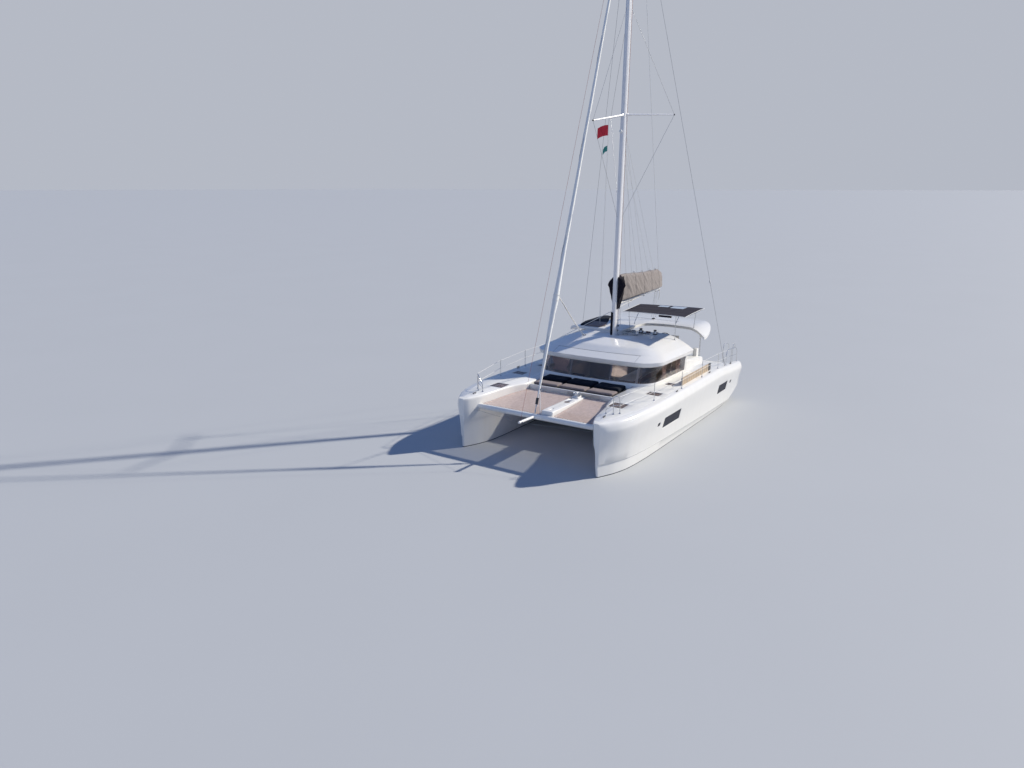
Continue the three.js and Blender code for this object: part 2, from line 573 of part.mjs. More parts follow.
// Sun canopy over the helm on four legs.
const canopyOutline = [[110, 1110], [2880, 1060], [2710, 3740], [-160, 3390]];
add('bimini_panel', slab(canopyOutline, BIMINI.z, BIMINI.z + BIMINI.thick), 'canopy');
const legR = 15;
const aftFeet = [[2330, 3620], [-180, 2950]].map(([x, y]) => [x, y, hardtopTop(x) - 20]);
const feet = [...LEG_FEET.front, ...aftFeet];
const heads = [[2230, 1720], [330, 1230], [2400, 3580], [-60, 3270]];
const legTop = BIMINI.z - GAP - legR;
const legs = feet.map((foot, i) => {
  const straight = [foot[0], foot[1], foot[2] + 60];
  return tube([[foot[0], foot[1], foot[2] + GAP], straight, [...heads[i], legTop]], legR);
});
const hoop = tube([[...heads[0], legTop], [...heads[1], legTop], [...heads[3], legTop], [...heads[2], legTop], [...heads[0], legTop]], legR);
const hoopCorners = joined(...heads.map((head) => ball([...head, legTop], legR)));
const belowPanel = solid(box(-500, 3500, 0, 5000, 3000, BIMINI.z - GAP));
const canopyFrame = legs.reduce((a, b) => a.add(b)).add(hoop).add(hoopCorners).intersect(belowPanel);
add('bimini_frame', cutBy(canopyFrame, hardtopShape, [0, 0, GAP]), 'steel');

// Cockpit furniture
const floorZ = BRIDGE.floor + GAP;
const benchOutline = [[4740, floorZ], [4740, 1680], [5250, 1680], [5300, 1990], [COCKPIT.back - GAP, 1990], [COCKPIT.back - GAP, floorZ]];
const aftBench = profile(benchOutline, -innerX + GAP, 900);
const sideBench = box(-innerX + GAP, -1300, 3000, 4800, floorZ, 1680);
add('cockpit_bench', joined(aftBench, sideBench), 'canvas');
add('cockpit_table', joined(box(-1000, -120, 3500, 4500, 1930, 1970), rod([-560, 4000, floorZ], [-560, 4000, 1940], 60, 12)), 'wood');

// Forward lounge: a cushioned bench behind the coaming, up to the deckhouse front.
const loungeOutline = [
  [BRIDGE.front + LOUNGE.coaming + GAP, LOUNGE.floor + GAP], [BRIDGE.front + LOUNGE.coaming + GAP, 2060],
  [-2280, 2060], [-2050, 2120], [LOUNGE.back - 10, 2120], [LOUNGE.back - 10, LOUNGE.floor + GAP],
];
add('lounge_cushions', profile(loungeOutline, -1780, 1780), 'canvas');

// Saloon furniture seen through the panes.
add('saloon_settee', joined(
  box(-1800, 1000, -1480, -850, floorZ, 1750), box(-1800, -1150, -860, 300, floorZ, 1750),
  box(-1800, 1000, -1480, -1340, 1740, 2000),
), 'canvas');
add('saloon_galley', joined(box(1200, 1800, -1400, 1300, floorZ, 2180), box(500, 1210, 900, 1500, floorZ, 2180)), 'wood');

// Foredeck: crossbeam, a catwalk to port of the centre line, nets, bowsprit and windlass.
const BEAM = { y: -5740, z: 1560, r: 100 };
let crossbeam = solid(new THREE.CylinderGeometry(BEAM.r, BEAM.r, 5400, 16).rotateZ(Math.PI / 2).translate(0, BEAM.y, BEAM.z));
for (const side of Object.values(SIDES)) crossbeam = cutBy(crossbeam, hullSkin(side), [-side * GAP, 0, 0]);
crossbeam = crossbeam.intersect(solid(box(-2500, 2500, -6500, -5000, 1000, 2000)));
add('crossbeam', crossbeam, 'alloy');

const CATWALK = { x: 450, half: 240, y0: BEAM.y + BEAM.r + GAP, y1: BRIDGE.front - GAP, z0: 1540, z1: 1800 };
const [walkX0, walkX1] = [CATWALK.x - CATWALK.half, CATWALK.x + CATWALK.half];
add('catwalk', box(walkX0, walkX1, CATWALK.y0, CATWALK.y1, CATWALK.z0, CATWALK.z1), 'gelcoat');
add('windlass', joined(
  box(CATWALK.x - 120, CATWALK.x + 120, -3560, -3260, CATWALK.z1 + GAP, CATWALK.z1 + 60),
  rod([CATWALK.x - 150, -3400, CATWALK.z1 + 130], [CATWALK.x + 150, -3400, CATWALK.z1 + 130], 75, 14),
), 'steel');

const NET = { z0: 1622, z1: 1636, y0: BEAM.y + BEAM.r + GAP, y1: BRIDGE.front - GAP };
for (const [name, side] of Object.entries(SIDES)) {
  const besideWalk = CATWALK.half + side * CATWALK.x + GAP;
  const sheet = solid(sideBox(side, besideWalk, 2600, NET.y0, NET.y1, NET.z0, NET.z1));
  const fitted = cutBy(sheet, hullSkin(side), [-side * GAP, 0, 0]);
  const parts = fitted.decompose().sort((a, b) => b.volume() - a.volume());
  add('trampoline_' + name, parts[0], 'netting');
}

const spritFrom = [0, BEAM.y - BEAM.r + 30, BEAM.z];
const sprit = solid(rod(spritFrom, [0, -6780, 1590], 50, 16));
const beamShape = new THREE.CylinderGeometry(BEAM.r + GAP, BEAM.r + GAP, 5400, 16).rotateZ(Math.PI / 2);
add('bowsprit', sprit.subtract(solid(beamShape.translate(0, BEAM.y, BEAM.z))), 'alloy');

// Rig
const mastAxis = (z) => [0, MAST.y + (z - MAST.foot) * MAST.rake, z];
function mastRing(z, scale = 1) {
  const [, y] = mastAxis(z);
  const turns = Array.from({ length: 16 }, (_, i) => (i * Math.PI) / 8);
  return turns.map((a) => [(MAST.wide / 2) * scale * Math.cos(a), y + (MAST.deep / 2) * scale * Math.sin(a), z]);
}
const mastSkin = loft([mastRing(MAST.foot + GAP), mastRing(MAST.head - 2500), mastRing(MAST.head, 0.75)], alongZ);
const mastBase = box(-170, 170, MAST.y - 220, MAST.y + 220, MAST.foot + GAP, MAST.foot + 40);
const lug = [[MAST.y + 100, GOOSENECK.z - 45], [GOOSENECK.y + 40, GOOSENECK.z - 45], [GOOSENECK.y + 40, GOOSENECK.z + 45], [MAST.y + 100, GOOSENECK.z + 45]];
const pinHole = rod([0, GOOSENECK.y, GOOSENECK.z - 90], [0, GOOSENECK.y, GOOSENECK.z + 90], 14, 16);
const mast = joined(mastSkin, mastBase, profile(lug, -28, 28)).subtract(solid(pinHole));
add('mast', mast, 'alloy');

// Spreaders: name and tip.
const SPREADERS = {
  forward: [0, -1840, 11960],
  port: [1420, 2420, 12400],
  starboard: [-1420, 2420, 12400],
};
const grownMast = loft([mastRing(11000, 1.004), mastRing(13500, 1.004)], alongZ);
for (const [name, tip] of Object.entries(SPREADERS)) {
  const arm = solid(rod(mastAxis(SPREADER_Z), tip, 45, 10, 26));
  add('spreader_' + name, arm.subtract(solid(grownMast)), 'alloy');
}

// Boom on its gooseneck, with the sail stowed in the bag along its top.
const boomBack = [0, GOOSENECK.y + BOOM.length, GOOSENECK.z + BOOM.rise];
const boomRing = (y, z, scale = 1) => Array.from({ length: 12 }, (_, i) => {
  const a = (i * Math.PI) / 6;
  return [(BOOM.wide / 2) * scale * Math.cos(a), y, z + (BOOM.deep / 2) * scale * Math.sin(a)];
});
const boomFront = GOOSENECK.y + 95;
const boomSkin = loft([boomRing(boomFront, GOOSENECK.z + 3), boomRing(boomBack[1], boomBack[2])], alongY);
const cheek = (z0, z1) => box(-30, 30, GOOSENECK.y - 32, boomFront + 60, z0, z1);
const gooseneckPin = rod([0, GOOSENECK.y, GOOSENECK.z - 60], [0, GOOSENECK.y, GOOSENECK.z + 60], 13, 16);
add('boom', joined(
  boomSkin, cheek(GOOSENECK.z - 66, GOOSENECK.z - 46), cheek(GOOSENECK.z + 46, GOOSENECK.z + 66), gooseneckPin,
), 'alloy');

// Bag rings from front to aft: y, height, half width at the bottom and at the top.
const BAG = [
  [900, 1080, 120, 95],
  [1500, 1050, 185, 120],
  [3200, 910, 195, 120],
  [4700, 860, 175, 110],
  [5150, 700, 130, 80],
];
const boomSlope = (boomBack[2] - GOOSENECK.z - 3) / (boomBack[1] - boomFront);
const boomTop = (y) => GOOSENECK.z + 3 + BOOM.deep / 2 + (y - boomFront) * boomSlope;
const bagRing = ([y, high, low, top]) => {
  const z0 = boomTop(y) + GAP;
  const half = [
    [0, 0], [low * 0.8, 0], [low, 130], [low * 0.85, high * 0.6], [top, high - 120], [top * 0.6, high - 20], [0, high],
  ];
  const port = half.map(([x, up]) => [x, y, z0 + up]);
  return [...port, ...half.slice(1, -1).reverse().map(([x, up]) => [-x, y, z0 + up])];
};
add('sail_bag', loft(BAG.map(bagRing), alongY), 'canvas');

// Furled headsail on its foil, turning with the furler drum about the forestay.
const stayTop = new THREE.Vector3(0, mastAxis(HOUNDS_Z)[1] - MAST.deep / 2 - 2, HOUNDS_Z);
const stayLine = stayTop.clone().sub(STAY_FOOT);
const stayLength = stayLine.length();
const stayTurn = new THREE.Quaternion().setFromUnitVectors(new THREE.Vector3(0, 1, 0), stayLine.clone().normalize());
const onStay = (geometry) => geometry.applyQuaternion(stayTurn).translate(...STAY_FOOT.toArray());
const lathe = (pairs, segments) => onStay(new THREE.LatheGeometry(pairs.map(([r, h]) => new THREE.Vector2(r, h)), segments));
// Radius of the rolled sail, height along the stay.
const ROLL = [
  [0, 900], [38, 900], [52, 1200], [72, 2200], [105, 3700], [118, 4300], [100, 4900], [80, 6000],
  [72, 9000], [62, 13000], [48, 17000], [26, 18700], [0, 18700],
];
const DRUM = [[0, 330], [60, 330], [60, 352], [34, 372], [34, 520], [60, 540], [60, 562], [28, 580], [28, 900 - GAP], [0, 900 - GAP]];
add('headsail_roll', lathe(ROLL, 12), 'sailcloth');
add('furler_drum', joined(lathe(DRUM, 16)), 'plastic');
const stayRod = (h0, h1, r) => onStay(new THREE.CylinderGeometry(r, r, h1 - h0, 8).translate(0, (h0 + h1) / 2, 0));
const stayFoot = solid(stayRod(-60, 329.4, 14));
add('forestay_foot', stayFoot.subtract(solid(new THREE.CylinderGeometry(BEAM.r + GAP, BEAM.r + GAP, 900, 16).rotateZ(Math.PI / 2).translate(0, BEAM.y, BEAM.z))), 'steel');
add('forestay', solid(stayRod(18700.6, stayLength - 12, 7)), 'steel');

// Shrouds from the chainplates on deck to the hounds.
const CHAINPLATE = [3620, 4230];
for (const [name, side] of Object.entries(SIDES)) {
  const foot = [side * CHAINPLATE[0], CHAINPLATE[1], 1700];
  const head = [side * 60, mastAxis(HOUNDS_Z)[1], HOUNDS_Z];
  const wire = solid(rod(foot, head, 7, 8));
  const plate = solid(rod(foot, [foot[0] * 0.993, foot[1] - 22, 2350], 15, 8));
  const shroud = cutBy(wire.add(plate), hullSkin(side), [0, 0, GAP]);
  const clear = shroud.subtract(solid(loft([mastRing(20000, 1.006), mastRing(21800, 1.006)], alongZ)));
  add('shroud_' + name, clear.decompose().sort((a, b) => b.volume() - a.volume())[0], 'steel');
}

// Guard rails: pulpit, stanchions, two lifelines and pushpit. Rows: x, y, top z.
const STANCHIONS = [[3400, -2970, 2700], [3600, -790, 2710], [3600, 1420, 2710], [3600, 3350, 2690]];
const PULPIT = [[2630, -5300, 2290], [2880, -5240, 2620], [3040, -5060, 2620]];
const LIFELINE_R = 5;
const PUSHPIT = [[3580, 4480, 2620], [3550, 5250, 2550], [3530, 6150, 2480]];
const wireRing = ([x, y, z]) => [0, 1, 2, 3, 4, 5].map((i) => {
  const a = (i * Math.PI) / 3;
  return [x + LIFELINE_R * Math.cos(a), y, z + LIFELINE_R * Math.sin(a)];
});
for (const [name, side] of Object.entries(SIDES)) {
  const leg = ([x, y, z], r) => rod([side * x, y, z], [side * x, y, 1700], r);
  const posts = [...STANCHIONS.map((row) => leg(row, 12)), ...[...PULPIT, ...PUSHPIT].map((row) => leg(row, 14))];
  const tops = (rows) => rows.map(([x, y, z]) => [side * x, y, z]);
  const rail = tube(tops(PULPIT), 14).add(tube(tops(PUSHPIT), 14));
  const caps = joined(...tops([...PULPIT, ...PUSHPIT]).map((at) => ball(at, 14)));
  const wires = [0, 320].map((drop) => {
    const line = [PULPIT.at(-1), ...STANCHIONS, PUSHPIT[0]].map(([x, y, z]) => [side * x, y, z - 16 - drop]);
    return solid(loft(line.map(wireRing), alongY));
  });
  const frame = joined(...posts).add(rail).add(caps).add(wires[0]).add(wires[1]);
  add('guard_rail_' + name, cutBy(frame, hullSkin(side), [0, 0, GAP]), 'steel');
}

// Deck hatch lids, each hinged at its forward edge.
for (const [sideName, side] of Object.entries(SIDES)) {
  for (const [name, x, y, wide, long] of HATCHES) {
    const z0 = DECK_Z - LID.recess + GAP;
    const lid = sideBox(side, x - wide / 2, x + wide / 2, y - long / 2, y + long / 2, z0, z0 + LID.thick);
    add('hatch_' + name + '_' + sideName, lid, 'glass');
  }
}

// Boarding plank stowed on edge along the port side deck, and the sun pad on the hardtop.
add('gangplank', box(3400, 3440, -350, 2900, DECK_Z + GAP, DECK_Z + 300), 'wood');
const padOutline = [
  [-2050, 1300], [-1150, 1300], [-1000, 1700], [-1900, 4100], [-2350, 4150], [-2500, 3600], [-2350, 2300],
];
const padLayer = [GAP, 60].map((up, i) => {
  const line = acrossX.map((x) => [x, 1000, hardtopTop(x) + up]);
  return i ? line.reverse() : line;
});
const padRing = padLayer.flat();
const padSkin = loft([padRing, padRing.map(([x, , z]) => [x, 6000, z])], alongY);
add('roof_pad', solid(padSkin).intersect(solid(slab(padOutline, 3000, 4000))), 'canvas');

export default boat;
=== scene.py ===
"""A cruising sailing catamaran afloat, its sails stowed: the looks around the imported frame.

Metres. X is to port, Y is aft, Z is up, and the waterline is z = 0 amidships.
"""

import functools
import math

import bpy
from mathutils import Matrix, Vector, noise


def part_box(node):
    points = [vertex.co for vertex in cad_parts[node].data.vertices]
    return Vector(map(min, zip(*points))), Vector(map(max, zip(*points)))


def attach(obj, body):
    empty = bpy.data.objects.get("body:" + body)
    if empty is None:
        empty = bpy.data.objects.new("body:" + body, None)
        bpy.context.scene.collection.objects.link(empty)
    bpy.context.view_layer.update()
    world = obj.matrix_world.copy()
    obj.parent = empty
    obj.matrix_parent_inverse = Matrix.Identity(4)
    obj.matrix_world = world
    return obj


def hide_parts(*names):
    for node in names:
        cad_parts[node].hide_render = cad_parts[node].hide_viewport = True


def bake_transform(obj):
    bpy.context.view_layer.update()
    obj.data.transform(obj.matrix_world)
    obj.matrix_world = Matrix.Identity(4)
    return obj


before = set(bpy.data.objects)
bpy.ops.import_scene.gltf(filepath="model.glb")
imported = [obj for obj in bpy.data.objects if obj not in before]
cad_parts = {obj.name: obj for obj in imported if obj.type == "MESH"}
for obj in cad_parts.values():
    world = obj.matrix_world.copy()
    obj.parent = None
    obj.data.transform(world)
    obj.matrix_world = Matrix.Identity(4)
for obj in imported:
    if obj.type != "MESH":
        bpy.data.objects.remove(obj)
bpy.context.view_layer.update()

bl_info = {
    "name": "Sailing catamaran",
    "version": (1, 0, 0),
    "blender": (4, 5, 0),
    "location": "3D View > Sidebar > Catamaran",
    "description": "Dresses the frame of a sailing catamaran",
    "category": "Object",
}

SIDES = {"port": 1, "starboard": -1}
UP = Vector((0, 0, 1))


# Tools for making meshes


def alone(*objects):
    """Only these objects are selected, and the first is active."""
    bpy.ops.object.select_all(action="DESELECT")
    for one in objects:
        one.select_set(True)
    if objects:
        bpy.context.view_layer.objects.active = objects[0]


def take(name):
    made = bpy.context.object
    made.name = made.data.name = name
    return made


def settle(piece):
    """The piece's place goes into its mesh."""
    alone(piece)
    bpy.ops.object.transform_apply(location=True, rotation=True, scale=True)
    return piece


def finished(piece, kind, **settings):
    """The piece with a modifier added and applied."""
    alone(piece)
    modifier = piece.modifiers.new(kind, kind)
    for name, value in settings.items():
        setattr(modifier, name, value)
    bpy.ops.object.modifier_apply(modifier=modifier.name)
    return piece


def bevelled(piece, width, segments=2, angle=35):
    return finished(
        piece, "BEVEL", width=width, segments=segments, limit_method="ANGLE", angle_limit=math.radians(angle)
    )


def edited(piece, *steps):
    """Runs edit-mode steps, each a function, on the whole selected mesh."""
    alone(piece)
    bpy.ops.object.mode_set(mode="EDIT")
    bpy.ops.mesh.select_all(action="SELECT")
    for step in steps:
        step()
    bpy.ops.object.mode_set(mode="OBJECT")
    return piece


def outward():
    bpy.ops.mesh.select_all(action="SELECT")
    bpy.ops.mesh.normals_make_consistent(inside=False)


def loft(name, rings, closed=True):
    """A skin over rings of equal length, from a grid whose points are moved to the rings."""
    alone()
    count = len(rings[0])
    bpy.ops.mesh.primitive_grid_add(
        x_subdivisions=count - (not closed), y_subdivisions=len(rings) - 1, size=2
    )
    made = take(name)
    rows = [list(ring) + [ring[0]] * closed for ring in rings]
    made.data.vertices.foreach_set("co", [c for ring in rows for point in ring for c in point])
    made.data.update()
    if not closed:
        return made
    edited(made, lambda: bpy.ops.mesh.remove_doubles(threshold=1e-6))
    for end in (rings[0], rings[-1]):
        fill_ring(made, end)
    return edited(made, outward)


def fill_ring(piece, ring):
    """A face over one open end, found by its points."""
    alone(piece)
    wanted = {tuple(round(c, 4) for c in point) for point in ring}
    bpy.ops.object.mode_set(mode="EDIT")
    bpy.ops.mesh.select_all(action="DESELECT")
    bpy.ops.mesh.select_mode(type="VERT")
    bpy.ops.object.mode_set(mode="OBJECT")
    for vertex in piece.data.vertices:
        vertex.select = tuple(round(c, 4) for c in vertex.co) in wanted
    bpy.ops.object.mode_set(mode="EDIT")
    bpy.ops.mesh.edge_face_add()
    bpy.ops.object.mode_set(mode="OBJECT")


def eased(points, sharp=(), rounds=2, closed=True):
    """A line of points with its corners cut round, but for the sharp ones, given by index."""
    line = [(Vector(p), i in sharp) for i, p in enumerate(points)]
    for _ in range(rounds):
        cut = []
        for i, (point, keep) in enumerate(line):
            if keep or (not closed and i in (0, len(line) - 1)):
                cut.append((point, keep))
                continue
            before, after = line[i - 1][0], line[(i + 1) % len(line)][0]
            cut += [(point.lerp(before, 0.25), False), (point.lerp(after, 0.25), False)]
        line = cut
    return [point for point, _ in line]


def bent(points, rounds=2):
    """An open line with its corners cut round."""
    return eased(points, rounds=rounds, closed=False)


def angles(count):
    return [2 * math.pi * i / count for i in range(count)]


def patch(surface, steps, low=(0, 0), high=(1, 1)):
    """Rows of points of a surface that is a function of u and v."""
    spans = [[a + (b - a) * i / steps for i in range(steps + 1)] for a, b in zip(low, high)]
    return [[surface(u, v) for u in spans[0]] for v in spans[1]]


def border(surface, steps):
    """Points once round the surface's edge."""
    shares = [i / steps for i in range(steps)]
    there = [surface(s, 0) for s in shares] + [surface(1, s) for s in shares]
    return there + [surface(1 - s, 1) for s in shares] + [surface(0, 1 - s) for s in shares]


def circle(at, radius, sides, along=UP):
    """Points of a ring round a line's direction."""
    tilt = UP.rotation_difference(Vector(along).normalized())
    return [
        Vector(at) + tilt @ Vector((radius * math.cos(a), radius * math.sin(a), 0)) for a in angles(sides)
    ]


def turned(name, rows, at, along=UP, sides=24):
    """A turned piece: rows are radius and height along its axis."""
    along = Vector(along).normalized()
    return loft(name, [circle(Vector(at) + along * up, radius, sides, along) for radius, up in rows])


def block(name, low, high, bevel=0.0, segments=2):
    """A box between two corners with rounded edges."""
    alone()
    low, high = Vector(low), Vector(high)
    bpy.ops.mesh.primitive_cube_add(size=1, location=(low + high) / 2, scale=high - low)
    made = settle(take(name))
    return bevelled(made, bevel, segments) if bevel else made


def tubes(name, lines, radius, sides=8, closed=False):
    """Round bars along lines of points, made from one curve. A point may end in its own thickness."""
    alone()
    bpy.ops.curve.primitive_nurbs_path_add()
    made = take(name)
    curve = made.data
    curve.splines.clear()
    curve.dimensions = "3D"
    for points in lines:
        spline = curve.splines.new("POLY")
        spline.points.add(len(points) - 1)
        spline.use_cyclic_u = closed
        for point, place in zip(spline.points, points):
            point.co = (*place[:3], 1)
            point.radius = place[3] if len(place) > 3 else 1
    curve.bevel_depth = radius
    curve.bevel_resolution = max(0, sides // 2 - 2)
    curve.use_fill_caps = True
    settle(made)
    bpy.ops.object.convert(target="MESH")
    return edited(bpy.context.object, lambda: bpy.ops.mesh.remove_doubles(threshold=1e-6), outward)


def joined(name, *pieces):
    alone(*pieces)
    if len(pieces) > 1:
        bpy.ops.object.join()
    return take(name)


def cut(piece, *cutters, operation="DIFFERENCE"):
    for cutter in cutters:
        finished(piece, "BOOLEAN", operation=operation, object=cutter, solver="EXACT")
        bpy.data.objects.remove(cutter)
    return piece


def refined(node, bevel, segments=2, angle=30):
    """A clean copy of a frame node with its flat faces merged and its edges rounded."""
    alone()
    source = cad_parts[node]
    source.hide_set(False)
    alone(source)
    bpy.ops.object.duplicate(linked=False)
    made = bpy.context.object
    made.parent = None
    for key in list(made.keys()):
        del made[key]
    made = take(node + "_dressed")
    edited(
        made,
        lambda: bpy.ops.mesh.remove_doubles(threshold=2e-5),
        lambda: bpy.ops.mesh.dissolve_limited(angle_limit=math.radians(0.4)),
    )
    return bevelled(made, bevel, segments, angle) if bevel else made


# The material slots, each with the finishes that belong to it.
SLOTS = {
    "gelcoat": ("topsides", "gelcoat", "tread_deck"),
    "antifoul": ("bottom",),
    "bronze": ("bronze",),
    "alloy": ("alloy", "mast_paint"),
    "white_alloy": ("white_paint",),
    "steel": ("steel", "wire"),
    "plastic": ("black_plastic",),
    "lid": ("lid", "lid_light"),
    "glass": ("tinted_glass", "dark_glass", "dial"),
    "wood": ("walnut", "plank"),
    "cushion": ("cushion", "cushion_dark", "cushion_pale", "curtain"),
    "canopy": ("canopy", "flap", "clear_vinyl", "flag_red", "flag_teal"),
    "bag": ("canvas", "webbing"),
    "netting": ("net",),
    "sailcloth": ("sailcloth", "rope", "rope_red"),
}
SLOT_OF = {finish: slot for slot, finishes in SLOTS.items() for finish in finishes}


def fitted(piece, finish, body="root", slot=None, stands_for=(), angle=35):
    """The finished piece gets its material, its body and the nodes that it stands for."""
    piece.data.materials.clear()
    piece.data.materials.append(MATERIALS[finish])
    alone(piece)
    bpy.ops.object.shade_smooth_by_angle(angle=math.radians(angle))
    slot = SLOT_OF.get(finish) if slot is None else slot
    if body:
        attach(piece, body)
    if stands_for:
        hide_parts(*stands_for)
    return piece


def dressed(node, finish, bevel, body="root", slot=None, segments=2, angle=35):
    """A frame node in its finish, with its edges rounded."""
    return fitted(refined(node, bevel, segments), finish, body, slot, [node], angle)


def lines_of(name, lines, finish, radius, sides, body="root", slot=None, closed=False):
    """Ropes, wires and seams, smooth all round."""
    return fitted(tubes(name, lines, radius, sides, closed), finish, body, slot, angle=80)


def banded(piece, finish, chosen):
    """Faces that a test picks get a second material."""
    index = len(piece.data.materials)
    piece.data.materials.append(MATERIALS[finish])
    for face in piece.data.polygons:
        if chosen(face.center, face.normal):
            face.material_index = index
    return piece


# Materials

MATERIALS = {}


def node(tree, kind, values=(), **attributes):
    """A shader node; a value that is a socket is linked."""
    made = tree.nodes.new("ShaderNode" + kind)
    for name, value in attributes.items():
        setattr(made, name, value)
    for socket, value in dict(values).items():
        if isinstance(value, bpy.types.NodeSocket):
            tree.links.new(value, made.inputs[socket])
        else:
            made.inputs[socket].default_value = value
    return made


def group(name, inputs, outputs):
    """An empty shader group; inputs are name to (socket type, default)."""
    tree = bpy.data.node_groups.new(name, "ShaderNodeTree")
    for label, (kind, default) in inputs.items():
        socket = tree.interface.new_socket(name=label, in_out="INPUT", socket_type="NodeSocket" + kind)
        if default is not None:
            socket.default_value = default
    for label, kind in outputs.items():
        tree.interface.new_socket(name=label, in_out="OUTPUT", socket_type="NodeSocket" + kind)
    return tree, tree.nodes.new("NodeGroupInput").outputs, tree.nodes.new("NodeGroupOutput").inputs


def mixed(tree, factor, a, b):
    made = node(tree, "Mix", {0: factor, 6: a, 7: b}, data_type="RGBA")
    return made.outputs[2]


def maths(tree, operation, a, b=0.0):
    return node(tree, "Math", {0: a, 1: b}, operation=operation).outputs[0]


def stretched(tree, vector, scale):
    return node(tree, "Mapping", {"Vector": vector, "Scale": scale}).outputs[0]


def build_groups():
    """Effects that several materials share."""
    tree, given, out = group(
        "weathering",
        {
            "Vector": ("Vector", None),
            "Color": ("Color", (1, 1, 1, 1)),
            "Soil": ("Color", (0.5, 0.45, 0.38, 1)),
            "Amount": ("Float", 0.2),
            "Scale": ("Float", 2.0),
            "Roughness": ("Float", 0.3),
            "Runs": ("Float", 0.5),
        },
        {"Color": "Color", "Roughness": "Float"},
    )
    broad = node(
        tree, "TexNoise",
        {"Vector": given["Vector"], "Scale": given["Scale"], "Detail": 6.0, "Roughness": 0.62},
    )
    run_place = stretched(tree, given["Vector"], (5.0, 5.0, 0.35))
    runs = node(tree, "TexNoise", {"Vector": run_place, "Scale": given["Scale"], "Detail": 4.0})
    blend = node(tree, "Mix", {0: given["Runs"], 2: broad.outputs[0], 3: runs.outputs[0]}).outputs[0]
    mask = node(tree, "MapRange", {0: blend, 1: 0.46, 2: 0.78}).outputs[0]
    strength = maths(tree, "MULTIPLY", mask, given["Amount"])
    tree.links.new(mixed(tree, strength, given["Color"], given["Soil"]), out["Color"])
    rougher = maths(tree, "MULTIPLY_ADD", strength, 0.45)
    tree.links.new(given["Roughness"], rougher.node.inputs[2])
    tree.links.new(rougher, out["Roughness"])

    tree, given, out = group(
        "weave",
        {"Vector": ("Vector", None), "Threads": ("Float", 300.0), "Uneven": ("Float", 0.3)},
        {"Height": "Float", "Shade": "Float"},
    )
    wobble = node(tree, "TexNoise", {"Vector": given["Vector"], "Scale": 9.0, "Detail": 2.0})
    bands = []
    for direction in "XYZ":
        wave = node(
            tree, "TexWave",
            {"Vector": given["Vector"], "Scale": given["Threads"], "Distortion": given["Uneven"]},
            bands_direction=direction,
        )
        bands.append(wave.outputs[1])
    crossed = maths(
        tree, "MAXIMUM", maths(tree, "MULTIPLY", bands[0], bands[1]),
        maths(tree, "MULTIPLY", bands[1], bands[2]),
    )
    tree.links.new(crossed, out["Height"])
    tree.links.new(maths(tree, "MULTIPLY_ADD", crossed, 0.35), out["Shade"])
    shade = out["Shade"].links[0].from_node
    tree.links.new(wobble.outputs[0], shade.inputs[2])

    tree, given, out = group(
        "tread",
        {"Vector": ("Vector", None), "Scale": ("Float", 60.0)},
        {"Height": "Float"},
    )
    cells = node(
        tree, "TexVoronoi", {"Vector": given["Vector"], "Scale": given["Scale"]}, feature="DISTANCE_TO_EDGE"
    )
    raised = node(tree, "MapRange", {0: cells.outputs[0], 1: 0.02, 2: 0.12}).outputs[0]
    tree.links.new(raised, out["Height"])

    tree, given, out = group(
        "grain",
        {
            "Vector": ("Vector", None),
            "Light": ("Color", (0.6, 0.45, 0.3, 1)),
            "Dark": ("Color", (0.35, 0.24, 0.15, 1)),
            "Scale": ("Float", 6.0),
        },
        {"Color": "Color", "Height": "Float"},
    )
    long = stretched(tree, given["Vector"], (9.0, 0.7, 9.0))
    fibres = node(
        tree, "TexNoise", {"Vector": long, "Scale": given["Scale"], "Detail": 7.0, "Distortion": 0.6}
    )
    tree.links.new(mixed(tree, fibres.outputs[0], given["Dark"], given["Light"]), out["Color"])
    tree.links.new(fibres.outputs[0], out["Height"])


def used(tree, name, values):
    made = tree.nodes.new("ShaderNodeGroup")
    made.node_tree = bpy.data.node_groups[name]
    for socket, value in values.items():
        if isinstance(value, bpy.types.NodeSocket):
            tree.links.new(value, made.inputs[socket])
        else:
            made.inputs[socket].default_value = value
    return made.outputs


def material(name, color, rough, metallic=0.0, **sockets):
    """A principled material and its Object coordinates."""
    made = bpy.data.materials.new(name)
    made.use_nodes = True
    tree = made.node_tree
    shader = tree.nodes["Principled BSDF"]
    values = {"Base Color": (*color[:3], 1), "Roughness": rough, "Metallic": metallic, **sockets}
    for socket, value in values.items():
        shader.inputs[socket].default_value = value
    MATERIALS[name] = made
    return tree, shader.inputs, node(tree, "TexCoord").outputs["Object"]


def bumped(tree, inputs, height, strength, distance):
    bump = node(tree, "Bump", {"Height": height, "Strength": strength, "Distance": distance})
    tree.links.new(bump.outputs[0], inputs["Normal"])


def weathered(
    name, color, rough, metallic=0.0, soil=(0.45, 0.4, 0.33), amount=0.12, scale=1.5, bump=None, runs=0.5,
    **sockets,
):
    """A worn surface: slight stains, and a fine bump of (scale, strength, distance)."""
    tree, inputs, place = material(name, color, rough, metallic, **sockets)
    worn = used(
        tree, "weathering",
        {
            "Vector": place, "Color": (*color, 1), "Soil": (*soil, 1), "Amount": amount, "Scale": scale,
            "Roughness": rough, "Runs": runs,
        },
    )
    tree.links.new(worn["Color"], inputs["Base Color"])
    tree.links.new(worn["Roughness"], inputs["Roughness"])
    if bump:
        ripple = node(tree, "TexNoise", {"Vector": place, "Scale": bump[0], "Detail": 4.0})
        bumped(tree, inputs, ripple.outputs[0], bump[1], bump[2])
    return tree, inputs, place, worn


